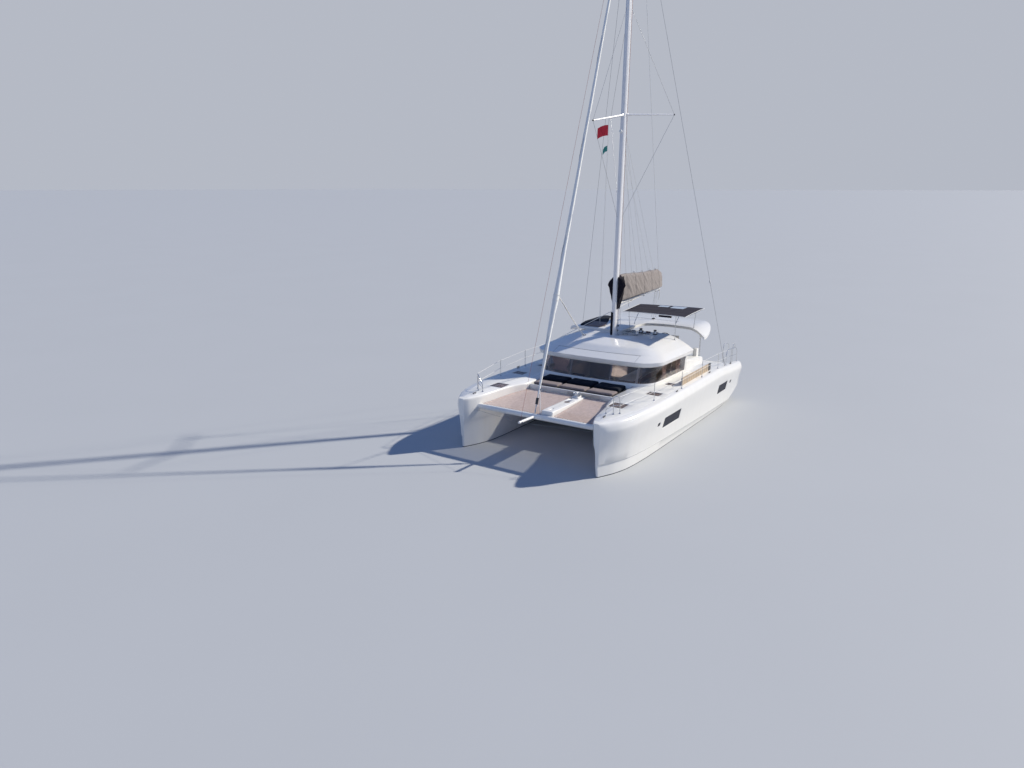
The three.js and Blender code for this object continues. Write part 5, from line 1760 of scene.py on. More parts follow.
def mast_ring(z, scale=1.0):
    """The mast's oval section."""
    return [
        (MAST["wide"] / 2 * scale * math.cos(a), mast_y(z) + MAST["deep"] / 2 * scale * math.sin(a), z)
        for a in angles(36)
    ]


def mast_fittings():
    """Sail track, lamp, masthead crane with two bases, and the foot's cover and blocks."""
    track = []
    for z in (4.2, 9.0, 14.0, 19.4):
        y = mast_y(z) + MAST["deep"] / 2
        track.append(
            [
                (x, y + dy, z)
                for x, dy in (
                    (-0.016, -0.006), (0.016, -0.006), (0.016, 0.009), (0.005, 0.009), (0, 0.004),
                    (-0.005, 0.009), (-0.016, 0.009),
                )
            ]
        )
    fitted(loft("mast_track", track), "black_plastic")
    y = mast_y(11.76) - MAST["deep"] / 2
    lamp = turned(
        "lamp", [(0.03, -0.02), (0.06, 0.02), (0.066, 0.07), (0.05, 0.085)], (0, y, 11.72), (0, -1, -0.35),
        sides=24,
    )
    fitted(lamp, "white_paint", slot="plastic")
    glass = turned(
        "mast_lamp_glass", [(0.05, 0.085), (0.035, 0.098), (0.01, 0.103)], (0, y, 11.72), (0, -1, -0.35),
        sides=24,
    )
    fitted(glass, "clear_vinyl", slot="glass")
    crane = block("crane", (-0.05, mast_y(21.8) - 0.16, 21.75), (0.05, mast_y(21.8) + 0.3, 21.86), 0.012)
    fitted(crane, "mast_paint")
    top = mast_y(21.88)
    sticks = [
        [(0.03, top - 0.1, 21.86), (0.03, top - 0.1, 21.895, 0.6)],
        [(-0.03, top + 0.12, 21.86), (-0.03, top + 0.12, 21.895, 0.6)],
    ]
    fitted(tubes("masthead_bases", sticks, 0.012, 10), "black_plastic")
    rings = []
    for i in range(15):
        z = 3.59 + 0.94 * i / 14
        rings.append(
            [
                (
                    (MAST["wide"] / 2 + 0.03) * math.cos(a) * (
                        1 + 0.14 * noise.noise(Vector((math.cos(a) * 2, math.sin(a) * 2, z * 7)))
                    ),
                    mast_y(z) + (MAST["deep"] / 2 + 0.03) * math.sin(a) * (
                        1 + 0.10 * noise.noise(Vector((z * 6, math.cos(a) * 2, math.sin(a) * 2)))
                    ),
                    z,
                )
                for a in (math.radians(118 + 4.6 * j) for j in range(37))
            ]
        )
    # The foot's cover wraps only the mast's shaded front and starboard side; its near-black colour is painted
    # shade.
    cover = loft("mast_foot_cover", rings, closed=False)
    finished(cover, "SOLIDIFY", thickness=0.004, offset=1)
    edited(cover, outward)
    fitted(cover, "flap", angle=80)
    blocks = []
    for x, z in ((0.14, 3.75), (-0.14, 3.75), (0.15, 3.95), (-0.15, 3.95)):
        rows = [(0.035, -0.012), (0.04, -0.008), (0.03, 0), (0.04, 0.008), (0.035, 0.012)]
        blocks.append(turned("block", rows, (x, mast_y(z) + 0.1, z), (1, 0, 0), sides=20))
    fitted(joined("mast_foot_blocks", *blocks), "black_plastic")


def mast_spreaders():
    for name, tip in SPREADERS.items():
        tip, root = Vector(tip), Vector((0, mast_y(12.34), 12.34))
        along = (tip - root).normalized()
        across = along.cross(UP).normalized()
        up = across.cross(along)
        start = root + along * (0.165 if name == "forward" else 0.12)
        rings = []
        for share, half, thick in (
            (0, 0.07, 0.045), (0.1, 0.062, 0.042), (0.95, 0.036, 0.026), (1, 0.022, 0.016)
        ):
            middle = start.lerp(tip, share)
            rings.append(
                [middle + across * half * math.cos(a) + up * thick * math.sin(a) for a in angles(20)]
            )
        arm = loft("arm", rings)
        socket = turned("socket", [(0.07, -0.03), (0.075, 0.0), (0.062, 0.05)], start, along, sides=24)
        joint = joined(f"spreader_{name}_dressed", arm, socket)
        fitted(joint, "mast_paint", stands_for=["spreader_" + name])
        end = turned(
            f"spreader_tip_{name}",
            [(0.012, -0.03), (0.03, -0.02), (0.034, 0.0), (0.028, 0.025), (0.01, 0.032)], tip - along * 0.01,
            along, sides=20,
        )
        fitted(end, "black_plastic")


def mast_wires():
    """Diamond wires over the spreader tips, the shrouds, and an insulator on the port shroud."""
    lines = []
    for tip in SPREADERS.values():
        tip = Vector(tip)
        toward = Vector((tip.x, tip.y - mast_y(tip.z), 0)).normalized()
        low = Vector((0, mast_y(8.4), 8.4)) + Vector((toward.x * 0.1, toward.y * 0.165, 0))
        high = Vector((0, mast_y(16.2), 16.2)) + Vector((toward.x * 0.1, toward.y * 0.165, 0))
        lines += [[low, tip], [tip, high]]
    lines_of("diamond_wires", lines, "wire", 0.0055, 8)
    for name, side in SIDES.items():
        foot = Vector((side * CHAINPLATE[0], *CHAINPLATE[1:]))
        head = Vector((side * 0.075, mast_y(HOUNDS_Z) + 0.02, HOUNDS_Z - 0.02))
        along = (head - foot).normalized()
        wire = tubes("wire", [[foot, head]], 0.006, 8)
        rows = [
            (0.008, 0.0), (0.014, 0.05), (0.014, 0.1), (0.01, 0.12), (0.016, 0.14), (0.016, 0.34),
            (0.01, 0.36), (0.013, 0.4), (0.013, 0.5), (0.007, 0.58),
        ]
        screw = turned("turnbuckle", rows, foot, along, sides=16)
        plate = block("plate", foot + Vector((-0.02, -0.03, -0.02)), foot + Vector((0.02, 0.03, 0.02)), 0.004)
        fitted(joined(f"shroud_{name}_dressed", wire, screw, plate), "wire", stands_for=["shroud_" + name])
    foot, head = Vector(CHAINPLATE), Vector((0.075, mast_y(HOUNDS_Z), HOUNDS_Z))
    rows = [(0.008, -0.09), (0.026, -0.07), (0.03, -0.02), (0.03, 0.04), (0.018, 0.09), (0.008, 0.11)]
    insulator = turned("shroud_insulator", rows, foot.lerp(head, 0.195), head - foot, sides=20)
    fitted(insulator, "rope", slot="plastic")


class BOAT_OT_mast(bpy.types.Operator):
    """Builds the mast with its track, collars and lamp, and the three spreaders with the diamond wires"""

    bl_idname = "catamaran.mast"
    bl_label = "Mast"

    def execute(self, context):
        rows = [(3.541, 1.0), (8.0, 1.0), (14.0, 1.0), (19.4, 1.0), (20.6, 0.9), (21.8, 0.77), (21.88, 0.7)]
        tube = loft("mast_tube", [mast_ring(z, scale) for z, scale in rows])
        lug = block("lug", (-0.028, 0.55, 4.805), (0.028, 0.87, 4.895), 0.008)
        hole = turned("hole", [(0.014, -0.1), (0.014, 0.1)], GOOSENECK, sides=20)
        cut(lug, hole)
        step = block("step", (-0.17, 0.255, 3.5404), (0.17, 0.695, 3.58), 0.016, 3)
        collar = loft("collar", [mast_ring(z, s) for z, s in ((3.578, 1.12), (3.66, 1.1), (3.67, 1.03))])
        fitted(joined("mast_dressed", tube, lug, step, collar), "mast_paint", stands_for=["mast"])
        mast_fittings()
        mast_spreaders()
        mast_wires()
        return {"FINISHED"}


def roll_radius(height):
    for (r0, h0), (r1, h1) in zip(ROLL, ROLL[1:]):
        if h0 <= height <= h1:
            t = (height - h0) / (h1 - h0)
            return r0 + (r1 - r0) * (t * t * (3 - 2 * t) * 0.5 + t * 0.5)
    return ROLL[-1][0]


def rolled_sail():
    """The cloth wound in a spiral, its outer edge showing as a slanting seam."""
    tilt = UP.rotation_difference(STAY_ALONG)
    turns, per_turn = 4, 20
    heights = []
    height = 0.9003
    while height < 18.69:
        heights.append(height)
        height += 0.14 if height < 6 else 0.34
    heights.append(18.699)
    rings, area = [], 0.0
    for k, height in enumerate(heights):
        outer = roll_radius(height)
        ring = []
        for i in range(turns * per_turn + 1):
            share = i / (turns * per_turn)
            angle = share * turns * 2 * math.pi + height * 1.7
            crease = 0.05 * noise.noise(
                Vector((angle * 0.8, height * 1.3, 0))
            ) + 0.03 * noise.noise(Vector((angle * 3, height * 5, 4)))
            r = (0.014 + (outer - 0.016) * share) * (1 + crease * share)
            r = min(r, outer * 0.995)
            ring.append(on_stay(height) + tilt @ Vector((r * math.cos(angle), r * math.sin(angle), 0)))
        rings.append(ring)
        if k:
            width = sum((b - a).length for a, b in zip(ring, ring[1:]))
            area += width * (height - heights[k - 1])
    sail = loft("headsail_cloth", rings, closed=False)
    finished(sail, "SOLIDIFY", thickness=0.0012, offset=0)
    fitted(sail, "sailcloth", "furler", stands_for=["headsail_roll"], angle=60)
    foil = tubes("headsail_foil", [[on_stay(0.905), on_stay(18.695)]], 0.012, 12)
    fitted(foil, "alloy", "furler")
    ties = []
    for height in (4.35, 4.15):
        r = roll_radius(height) + 0.0005
        ties.append(circle(on_stay(height), r, 28, STAY_ALONG))
    lines_of("headsail_ties", ties, "rope", 0.006, 8, "furler", closed=True)


def furler_and_foot():
    rows = [
        (0.02, 0.3305), (0.058, 0.332), (0.06, 0.34), (0.058, 0.352), (0.052, 0.362), (0.05, 0.53),
        (0.058, 0.54), (0.06, 0.55), (0.058, 0.562), (0.02, 0.57),
    ]
    fitted(
        turned("furler_drum_dressed", rows, STAY_FOOT, STAY_ALONG, sides=36), "black_plastic", "furler",
        stands_for=["furler_drum"],
    )
    rows = [
        (0.02, 0.5705), (0.026, 0.58), (0.026, 0.7), (0.03, 0.72), (0.03, 0.76), (0.026, 0.78), (0.026, 0.88),
        (0.02, 0.8996),
    ]
    fitted(turned("furler_torque_tube", rows, STAY_FOOT, STAY_ALONG, sides=28), "mast_paint", "furler")
    tilt = UP.rotation_difference(STAY_ALONG)
    line = []
    for i in range(9 * 18):
        a = i / 18 * 2 * math.pi
        layer = abs((i / (9 * 18) * 2) % 2 - 1)
        line.append(
            on_stay(0.38 + 0.13 * layer) + tilt @ Vector((0.041 * math.cos(a), 0.041 * math.sin(a), 0))
        )
    lines_of("furler_line_turns", [line], "rope", 0.0055, 6, "furler")
    rows = [(0.014, -0.055), (0.014, 0.329)]
    stem = turned("stem", rows, STAY_FOOT, STAY_ALONG, sides=20)
    rows = [
        (0.02, 0.0), (0.024, 0.02), (0.024, 0.1), (0.018, 0.12), (0.018, 0.2), (0.024, 0.22), (0.024, 0.3),
        (0.018, 0.32),
    ]
    screw = turned("screw", rows, STAY_FOOT, STAY_ALONG, sides=20)
    fitted(joined("forestay_foot_dressed", stem, screw), "steel", stands_for=["forestay_foot"])
    strut = [on_stay(0.86) + Vector((0.05, -0.02, 0)), Vector((0.19, -5.66, 1.662))]
    fitted(tubes("forestay_strut", [strut], 0.014, 12), "white_paint")
    length = (STAY_TOP - STAY_FOOT).length
    upper = tubes("forestay_dressed", [[on_stay(18.701), on_stay(length - 0.012)]], 0.007, 10)
    fitted(upper, "wire", stands_for=["forestay"])


def headsail_sheets():
    """Two white sheets from the clew to their lead on the coachroof, and a line from the mast to its side."""
    clew = on_stay(4.3) + Vector((0.1, 0.03, 0))
    lead = Vector((-1.2, 0.0, 3.5))
    port = clew.lerp(lead, 0.5) - UP * 0.06
    lines = [bent([clew, port, lead], 3)]
    lines.append(
        bent([clew + UP * 0.03, port + Vector((0.05, 0, -0.03)), lead + Vector((0.07, 0.02, -0.004))], 3)
    )
    lines.append([Vector((-0.12, 0.42, 4.55)), Vector((-2.64, 0.2, 3.115))])
    lines_of("headsail_sheets", lines, "rope", 0.011, 8)
    rows = [(0.03, 0), (0.036, 0.006), (0.02, 0.016), (0.02, 0.026), (0.036, 0.036), (0.03, 0.042)]
    blocks = [
        turned("sheet_block", rows, lead + Vector((x, 0.02, -0.015)), (0.4, 0, 1), sides=20)
        for x in (0, 0.09)
    ]
    fitted(joined("sheet_blocks", *blocks), "black_plastic")
    run = [
        (-1.12, 0.06, 3.53), (-0.9, 0.4, 3.555), (-0.5, 0.9, 3.552), (-0.2, 1.05, 3.552), (0.18, 1.2, 3.565)
    ]
    lines_of("sheet_lead", [bent(run)], "rope", 0.007, 8)


class BOAT_OT_headsail(bpy.types.Operator):
    """Winds the furled headsail on its stay, above the furler drum"""

    bl_idname = "catamaran.headsail"
    bl_label = "Headsail"

    def execute(self, context):
        rolled_sail()
        furler_and_foot()
        headsail_sheets()
        return {"FINISHED"}


def boom_ring(share, scale=1.0):
    middle = boom_axis(share)
    return [
        (0.055 * scale * math.cos(a), middle.y, middle.z + 0.062 * scale * math.sin(a)) for a in angles(32)
    ]


def boom_axis(share):
    return BOOM_START.lerp(BOOM_END, share) + UP * 0.058 * share


def boom_spar():
    tube = loft("tube", [boom_ring(0.0, 0.97), boom_ring(0.004), boom_ring(0.994), boom_ring(1.0, 0.94)])
    cheeks = [block("cheek", (-0.03, 0.798, z), (0.03, 0.985, z + 0.02), 0.004) for z in (4.812, 4.874)]
    pin = turned("pin", [(0.013, -0.05), (0.013, 0.05)], GOOSENECK, sides=20)
    fitted(joined("boom_dressed", tube, *cheeks, pin), "white_paint", "boom", stands_for=["boom"])
    sheaves = []
    for z in (4.93, 5.03):
        rows = [(0.03, -0.02), (0.034, -0.016), (0.026, 0), (0.034, 0.016), (0.03, 0.02)]
        sheaves.append(turned("sheave", rows, (0, 5.118, z), (1, 0, 0), sides=20))
    for y in (2.1, 3.4, 4.71):
        z = boom_axis((y - BOOM_FORE) / BOOM_LONG).z - 0.065
        sheaves.append(
            turned(
                "bail", [(0.02, 0.006), (0.026, -0.004), (0.026, -0.024), (0.018, -0.034)], (0, y, z),
                sides=20,
            )
        )
    fitted(joined("boom_fittings", *sheaves), "black_plastic", "boom")


def bag_half(y):
    """The bag's height and half widths at a place along the boom."""
    for a, b in zip(BAG, BAG[1:]):
        if y <= b[0] + 1e-9:
            t = (y - a[0]) / (b[0] - a[0])
            return [p + (q - p) * t for p, q in zip(a[1:], b[1:])]
    return BAG[-1][1:]


def bag_floor(y):
    slope = (BOOM_END.z - BOOM_START.z) / (BOOM_END.y - BOOM_START.y)
    return BOOM_START.z + 0.125 + (y - BOOM_START.y) * slope + 0.0003


def bag_ring(y, crease=1.0):
    """An open section of the bag, from its foot on one side over the top to the other."""
    high, low, top = bag_half(y)
    foot = bag_floor(y)
    drop = foot - boom_axis(max(0, (y - BOOM_FORE) / BOOM_LONG)).z
    half = [
        (0.05, -drop * 0.42), (low * 0.7, -drop * 0.25), (low * 0.86, 0.004), (low * 0.98, 0.04), (low, 0.13),
        (low * 0.93, high * 0.35), (low * 0.85, high * 0.6), (top * 1.02, high - 0.12),
    ]
    half += [(top * 0.8, high - 0.05), (top * 0.45, high - 0.018)]
    scallop = 0.022 * abs(math.sin((y - BAG_FRONT) / BAG_LONG * math.pi * 5)) - 0.012
    line = half + [(0, high - 0.012)] + [(-x, z) for x, z in reversed(half)]
    line = [(x, 0, z) for x, z in line]
    fine = bent(line)
    points = []
    for p in fine:
        share = p.z / high
        push = noise.noise(Vector((y * 1.6 + share * 1.1, share * 1.4, (p.x > 0) * 5.0))) * 0.04
        push += noise.noise(Vector((y * 5.0 + share * 4.5, share * 1.2, 7 + (p.x > 0)))) * 0.045
        push += noise.noise(Vector((y * 11 + share * 9.0, share * 2.0, 11 + (p.x > 0)))) * 0.02
        strap = math.exp(-((((y - BAG_FRONT) % STRAP_STEP) - STRAP_FIRST) / 0.05) ** 2) * 0.008
        body = math.sin(math.pi * min(1, max(0, share))) ** 0.5
        x = p.x * (
            1 - strap / max(0.05, abs(p.x)) * body
        ) + math.copysign(push * body * crease, p.x or 1) - math.copysign(0.012, p.x) * body
        lift = scallop * max(0, (share - 0.85) / 0.15)
        points.append((x, y + 0.01 * noise.noise(Vector((y * 3, share * 6, 2))), foot + p.z + lift))
    return points


def stowed_sail():
    """A canvas shell over the stowed sail, sagging between its webbing straps."""
    stations = [BAG_FRONT + BAG_LONG * i / 96 for i in range(97)]
    rings = [bag_ring(y) for y in stations]
    shell = loft("bag_shell", rings, closed=False)
    ends = []
    for y in (BAG_FRONT, BAG_FRONT + BAG_LONG):
        ring = [Vector(p) for p in bag_ring(y)]
        count = len(ring)
        middle = Vector((0, y, sum(p.z for p in ring) / count))
        rows = [[middle.lerp(p, s) for p in ring] for s in (0.02, 0.4, 0.75, 1.0)]
        ends.append(loft("end", rows, closed=False))
    whole = joined("sail_bag_cloth", shell, *ends)
    edited(whole, lambda: bpy.ops.mesh.remove_doubles(threshold=0.0004), outward)
    finished(whole, "SOLIDIFY", thickness=0.003, offset=-1)
    fitted(whole, "canvas", "boom", stands_for=["sail_bag"], angle=75)
    straps = []
    for i in range(5):
        y = BAG_FRONT + STRAP_FIRST + STRAP_STEP * i
        straps.append(
            [Vector(p) + Vector((math.copysign(0.003, p[0]), 0, 0.002)) for p in bag_ring(min(y, 5.1))]
        )
    lines_of("bag_straps", straps, "canvas", 0.005, 6, "boom")
    ties = []
    for y in (2.25, 3.1, 3.95, 4.55):
        top = Vector(bag_ring(y)[len(bag_ring(y)) // 2])
        ties.append(
            bent(
                [
                    top + Vector((0.05, 0, 0.0)), top + Vector((0.01, 0.02, 0.09)),
                    top + Vector((-0.03, -0.02, 0.05)),
                ]
            )
        )
    lines_of("bag_ties", ties, "rope", 0.014, 8, "boom")
    ridge = [Vector(bag_ring(y)[len(bag_ring(y)) // 2]) + UP * 0.006 for y in stations]
    lines_of("bag_zip", [ridge], "webbing", 0.008, 8, "boom")


def bag_front_in_painted_shade():
    """The bag's front: two creased sides from the mast's flanks back to the bag, their near-black colour
    painted shade.
    """
    widths = [
        (4.66, 0.11), (4.9, 0.14), (5.15, 0.2), (5.4, 0.3), (5.62, 0.4), (5.78, 0.34), (5.9, 0.24),
        (5.98, 0.12),
    ]
    sides = []
    for side in SIDES.values():
        rings = []
        for i in range(41):
            z = 4.66 + 1.32 * i / 40
            a, b = next((a, b) for a, b in zip(widths, widths[1:]) if z <= b[0] + 1e-6)
            wide = a[1] + (b[1] - a[1]) * (z - a[0]) / (b[0] - a[0])
            wide *= 1 + 0.12 * noise.noise(Vector((z * 5, side * 3, 1)))
            y = mast_y(z)
            back = 0.72 + 0.3 * min(1, max(0, (z - 4.7) / 0.5))
            line = [
                (0.108, y - 0.03), (wide * 0.9, y - 0.02), (wide, y + 0.1),
                (wide * 0.8, y + 0.5 * (back - y)),
            ]
            line += [(0.125 + wide * 0.1, back - 0.06), (0.12, back)]
            ring = []
            for j, p in enumerate(bent([(x, at, z) for x, at in line], 3)):
                fold = 0.05 * noise.noise(Vector((j * 0.42 + z * 1.2, z * 1.1, side * 4))) * min(1, j / 5)
                ring.append(
                    (side * (max(p.x, 0.108) + fold * (p.x > 0.13)), p.y + fold * 0.6, z + fold * 0.5)
                )
            rings.append(ring)
        sides.append(loft("flap", rings, closed=False))
    flap = joined("bag_front", *sides)
    finished(flap, "SOLIDIFY", thickness=0.003, offset=1)
    fitted(flap, "flap", None, slot="bag", angle=80)
    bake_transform(flap)


def boom_lines():
    """Lazy jacks, topping lift, mainsheet, the lines that hang below the boom, and the halyards."""
    jacks = []
    for side in SIDES.values():
        for y, z_up in ((1.75, 11.4), (2.9, 11.65), (4.1, 11.65)):
            high, low, top = bag_half(y)
            foot = Vector((side * (top + 0.01), y, bag_floor(y) + high - 0.09))
            head = Vector((side * 0.09, mast_y(z_up) + 0.08, z_up))
            knot = foot.lerp(head, 0.45)
            if y < 4:
                jacks.append([foot, knot, head])
            else:
                jacks.append([foot, foot.lerp(head, 0.97), head])
    piece = lines_of("lazy_jacks", jacks, "rope", 0.006, 6, None)
    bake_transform(piece)
    head = Vector((0, mast_y(21.75) + 0.28, 21.78))
    lift = tubes("topping_lift", [[Vector((0, 5.11, 5.1)), head]], 0.008, 6)
    piece = fitted(lift, "rope", None, angle=80)
    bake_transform(piece)
    sheet = [
        [(x, 4.71 + dy, 4.95), (x * 3, 4.62, 3.72)]
        for x, dy in ((-0.035, 0), (0.035, 0.02), (0, -0.03))
    ]
    piece = lines_of("mainsheet", sheet, "rope", 0.009, 6, None)
    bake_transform(piece)
    fitted(block("mainsheet_car", (-0.06, 4.57, 3.662), (0.06, 4.67, 3.7), 0.01), "black_plastic")
    fitted(
        block("mainsheet_track", (-1.3, 4.6, 3.649), (1.3, 4.64, 3.662), 0.003), "white_paint", slot="alloy"
    )
    slack = [(0.03, 0.95, 4.7), (0.03, 1.8, 4.78), (0.03, 2.5, 4.87), (0.03, 3.1, 4.9)]
    loops = [
        bent(slack, 3), [(0.03, 1.8, 4.78), (0.03, 1.8, 4.84)], [(0.03, 0.96, 4.7), (0.03, 0.96, 4.8)],
        [(0.03, 1.8, 4.78), (0.03, 1.8, 4.6)],
    ]
    lines_of("reefing_lines", loops, "rope", 0.012, 8, "boom")
    falls = [
        [(0.03, 0.86, 4.78), (0.1, 0.75, 3.545)], [(0.06, 0.9, 4.79), (0.16, 0.8, 3.545)],
        [(0.0, 0.8, 4.76), (-0.05, 0.72, 3.545)],
    ]
    piece = lines_of("boom_falls", falls, "rope", 0.01, 8, None)
    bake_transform(piece)
    tails = []
    for x, drop in ((0.05, 0.42), (-0.05, 0.36), (0.03, 0.5)):
        tails.append(bent([(x, 5.05, 4.98), (x * 1.3, 5.06, 4.8), (x, 5.04, 4.98 - drop)]))
    lines_of("boom_end_tails", tails, "rope", 0.009, 6, "boom")
    halyards = []
    for x, dy, top in (
        (0.03, 0.1, 21.7), (-0.035, 0.035, 21.7), (0.06, -0.02, 20.9), (0.045, 0.06, 21.5), (0.0, 0.06, 21.6)
    ):
        low = Vector((x, mast_y(3.9) + MAST["deep"] / 2 + dy, 3.75))
        high = Vector((x * 0.6, mast_y(top) + MAST["deep"] / 2 * 0.9 + dy, top))
        halyards.append([low, high])
    lines_of("halyards_red", halyards[:2], "rope_red", 0.011, 6)
    lines_of("halyard_light", halyards[2:], "rope", 0.008, 6)
    spare = [[Vector((0.02, -6.7, 1.66)), Vector((0, mast_y(21.3) - 0.3, 21.3))]]
    lines_of("bowsprit_halyard", spare, "rope_red", 0.005, 6)


class BOAT_OT_boom(bpy.types.Operator):
    """Builds the boom, the stowed sail's bag with its front painted near black as shade, and the lines that
    hold them
    """

    bl_idname = "catamaran.boom"
    bl_label = "Boom and sail bag"

    def execute(self, context):
        boom_spar()
        stowed_sail()
        bag_front_in_painted_shade()
        boom_lines()
        return {"FINISHED"}


class BOAT_OT_flags(bpy.types.Operator):
    """Hangs two plain flags from the starboard spreader's halyard"""

    bl_idname = "catamaran.flags"
    bl_label = "Flags"

    def execute(self, context):
        high, low = Vector((-1.2, 1.8, 12.34)), Vector((-1.34, 1.75, 3.56))
        line = tubes(
            "flag_halyard", [[high, low], [high + Vector((0.03, 0, 0)), low + Vector((0.03, 0.02, 0))]],
            0.006, 6,
        )
        fitted(line, "rope", angle=80)
        rows = [
            ("flag_red_cloth", "flag_red", 12.08, 0.5, 0.42, 0.4),
            ("flag_teal_cloth", "flag_teal", 11.25, 0.24, 0.22, 0.9),
        ]
        for name, finish, top, long, tall, droop in rows:
            hoist = high.lerp(low, (high.z - top) / (high.z - low.z))
            rings = []
            for j in range(15):
                v = j / 14
                ring = []
                for i in range(25):
                    u = i / 24
                    wave = math.sin(u * 9 + v * 1.5) * 0.035 * u
                    out = Vector((-0.78, -0.62, 0)) * long * u * (1 - 0.22 * u * droop)
                    ring.append(
                        hoist + out + Vector((0.62, -0.78, 0)) * wave
                        - UP * (tall * v + long * droop * u * u * 0.75)
                    )
                rings.append(ring)
            flag = loft(name, rings, closed=False)
            finished(flag, "SOLIDIFY", thickness=0.001, offset=0)
            fitted(flag, finish, slot="canopy", angle=80)
        return {"FINISHED"}


# Deck edge

STANCHIONS = [(3.4, -2.97, 2.7), (3.6, -0.79, 2.71), (3.6, 1.42, 2.71), (3.6, 3.35, 2.69)]
PULPIT = [(2.63, -5.3, 2.29), (2.88, -5.24, 2.62), (3.04, -5.06, 2.62)]
PUSHPIT = [(3.58, 4.48, 2.62), (3.55, 5.25, 2.55), (3.53, 6.15, 2.48)]


def deck_at(x, y):
    """The deck's height, a little lower out on its rounded edge."""
    section = section_at(y)
    out, deck = section[6], section[8]
    over = max(0.0, x - (out - 0.17))
    return deck - 0.03 * (over / 0.065) ** 1.5 if over < 0.065 else deck - 0.03 - (over - 0.065) * 1.2


def side_rails(name, side):
    bars, thin, bases = [], [], []
    for rows, label in ((PULPIT, "bow"), (PUSHPIT, "stern")):
        tops = [Vector((side * x, y, z)) for x, y, z in rows]
        feet = [Vector((side * x, y, deck_at(x, y))) for x, y, z in rows]
        loop = [feet[0]] + [tops[0]] + tops[1:-1] + [tops[-1]] + [feet[-1]]
        bars.append(bent(loop, 3))
        bars.append([feet[1], tops[1] - UP * 0.03])
        thin.append([feet[0].lerp(tops[0], 0.5), feet[1].lerp(tops[1], 0.5), feet[2].lerp(tops[2], 0.5)])
        bases += feet
    for x, y, z in STANCHIONS:
        foot, top = Vector((side * x, y, deck_at(x, y))), Vector((side * x, y, z))
        bars.append([(*foot, 0.86), (*top, 0.86)])
        bases.append(foot)
    plates = []
    for foot in bases:
        rows = [(0.04, -0.012), (0.04, 0.004), (0.024, 0.01), (0.019, 0.05), (0.016, 0.055)]
        plates.append(turned("base", rows, foot, sides=20))
    heavy = tubes("bars", bars, 0.0138, 12)
    middle = tubes("middle", thin, 0.009, 10)
    piece = joined(f"guard_rail_{name}_dressed", heavy, middle, *plates)
    fitted(piece, "steel", stands_for=["guard_rail_" + name])
    wires = []
    for drop in (0.016, 0.336):
        line = [PULPIT[-1]] + STANCHIONS + [PUSHPIT[0]]
        wires.append([Vector((side * x, y, z - drop)) for x, y, z in line])
    aft = [Vector((side * x, y, z - 0.33)) for x, y, z in PUSHPIT]
    wires.append(aft)
    lines_of("lifelines_" + name, wires, "white_paint", 0.006, 8, slot="steel")
    loop = [
        (side * 3.46, 4.36, 2.06), (side * 3.46, 4.36, 2.86), (side * 3.5, 4.5, 2.93),
        (side * 3.55, 4.78, 2.86), (side * 3.55, 4.86, 2.62),
    ]
    ladder = [
        (side * 3.52, 5.52, 1.9), (side * 3.52, 5.52, 2.66), (side * 3.53, 5.62, 2.72),
        (side * 3.53, 5.76, 2.66), (side * 3.53, 5.78, 2.5),
    ]
    posts = [bent(line) for line in (loop, ladder)]
    fitted(tubes("gate_posts_" + name, posts, 0.0125, 12), "steel")


class BOAT_OT_rails(bpy.types.Operator):
    """Builds the pulpits, stanchions, lifelines and stern rails"""

    bl_idname = "catamaran.rails"
    bl_label = "Guard rails"

    def execute(self, context):
        for name, side in SIDES.items():
            side_rails(name, side)
        return {"FINISHED"}


class BOAT_OT_gangplank(bpy.types.Operator):
    """Lashes the boarding plank on edge along the port side deck"""

    bl_idname = "catamaran.gangplank"
    bl_label = "Gangplank"

    def execute(self, context):
        z0, z1 = DECK + 0.0005, DECK + 0.3
        slats = []
        count = 13
        span = 3.25 / count
        for i in range(count):
            y0 = -0.35 + i * span
            slats.append(
                block("slat", (3.406, y0 + 0.004, z0 + 0.03), (3.434, y0 + span - 0.004, z1 - 0.03), 0.004)
            )
        for z in (z0, z1 - 0.032):
            slats.append(block("rail", (3.401, -0.35, z), (3.439, 2.9, z + 0.031), 0.007))
        plank = joined("gangplank_dressed", *slats)
        fitted(plank, "plank", stands_for=["gangplank"])
        ends = []
        for y0, y1 in ((2.62, 2.905), (-0.353, -0.3)):
            ends.append(block("end", (3.399, y0, z0 + 0.001), (3.441, y1, z1 + 0.001), 0.008))
        fitted(joined("gangplank_ends", *ends), "black_plastic")
        ties = []
        for y in (0.25, 1.5, 2.45):
            loop = [
                (3.395, y, z0 + 0.02), (3.395, y, z1 + 0.006), (3.42, y, z1 + 0.01), (3.445, y, z1 + 0.006),
                (3.445, y, z0 + 0.02),
            ]
            ties.append(bent(loop, 1))
        lines_of("gangplank_ties", ties, "rope", 0.006, 8)
        return {"FINISHED"}


# Stage

FLOOR_SIZE = 6000
CAMERA_PLACE = (13.876, -27.978, 9.568)
CAMERA_TURN = (math.radians(90 - 14.55), 0, 0.589)


def sun_light(name, angles, strength, spread, color):
    alone()
    bpy.ops.object.light_add(type="SUN", rotation=[math.radians(a) for a in angles])
    light = take(name)
    light.data.energy = strength
    light.data.angle = math.radians(spread)
    light.data.color = color


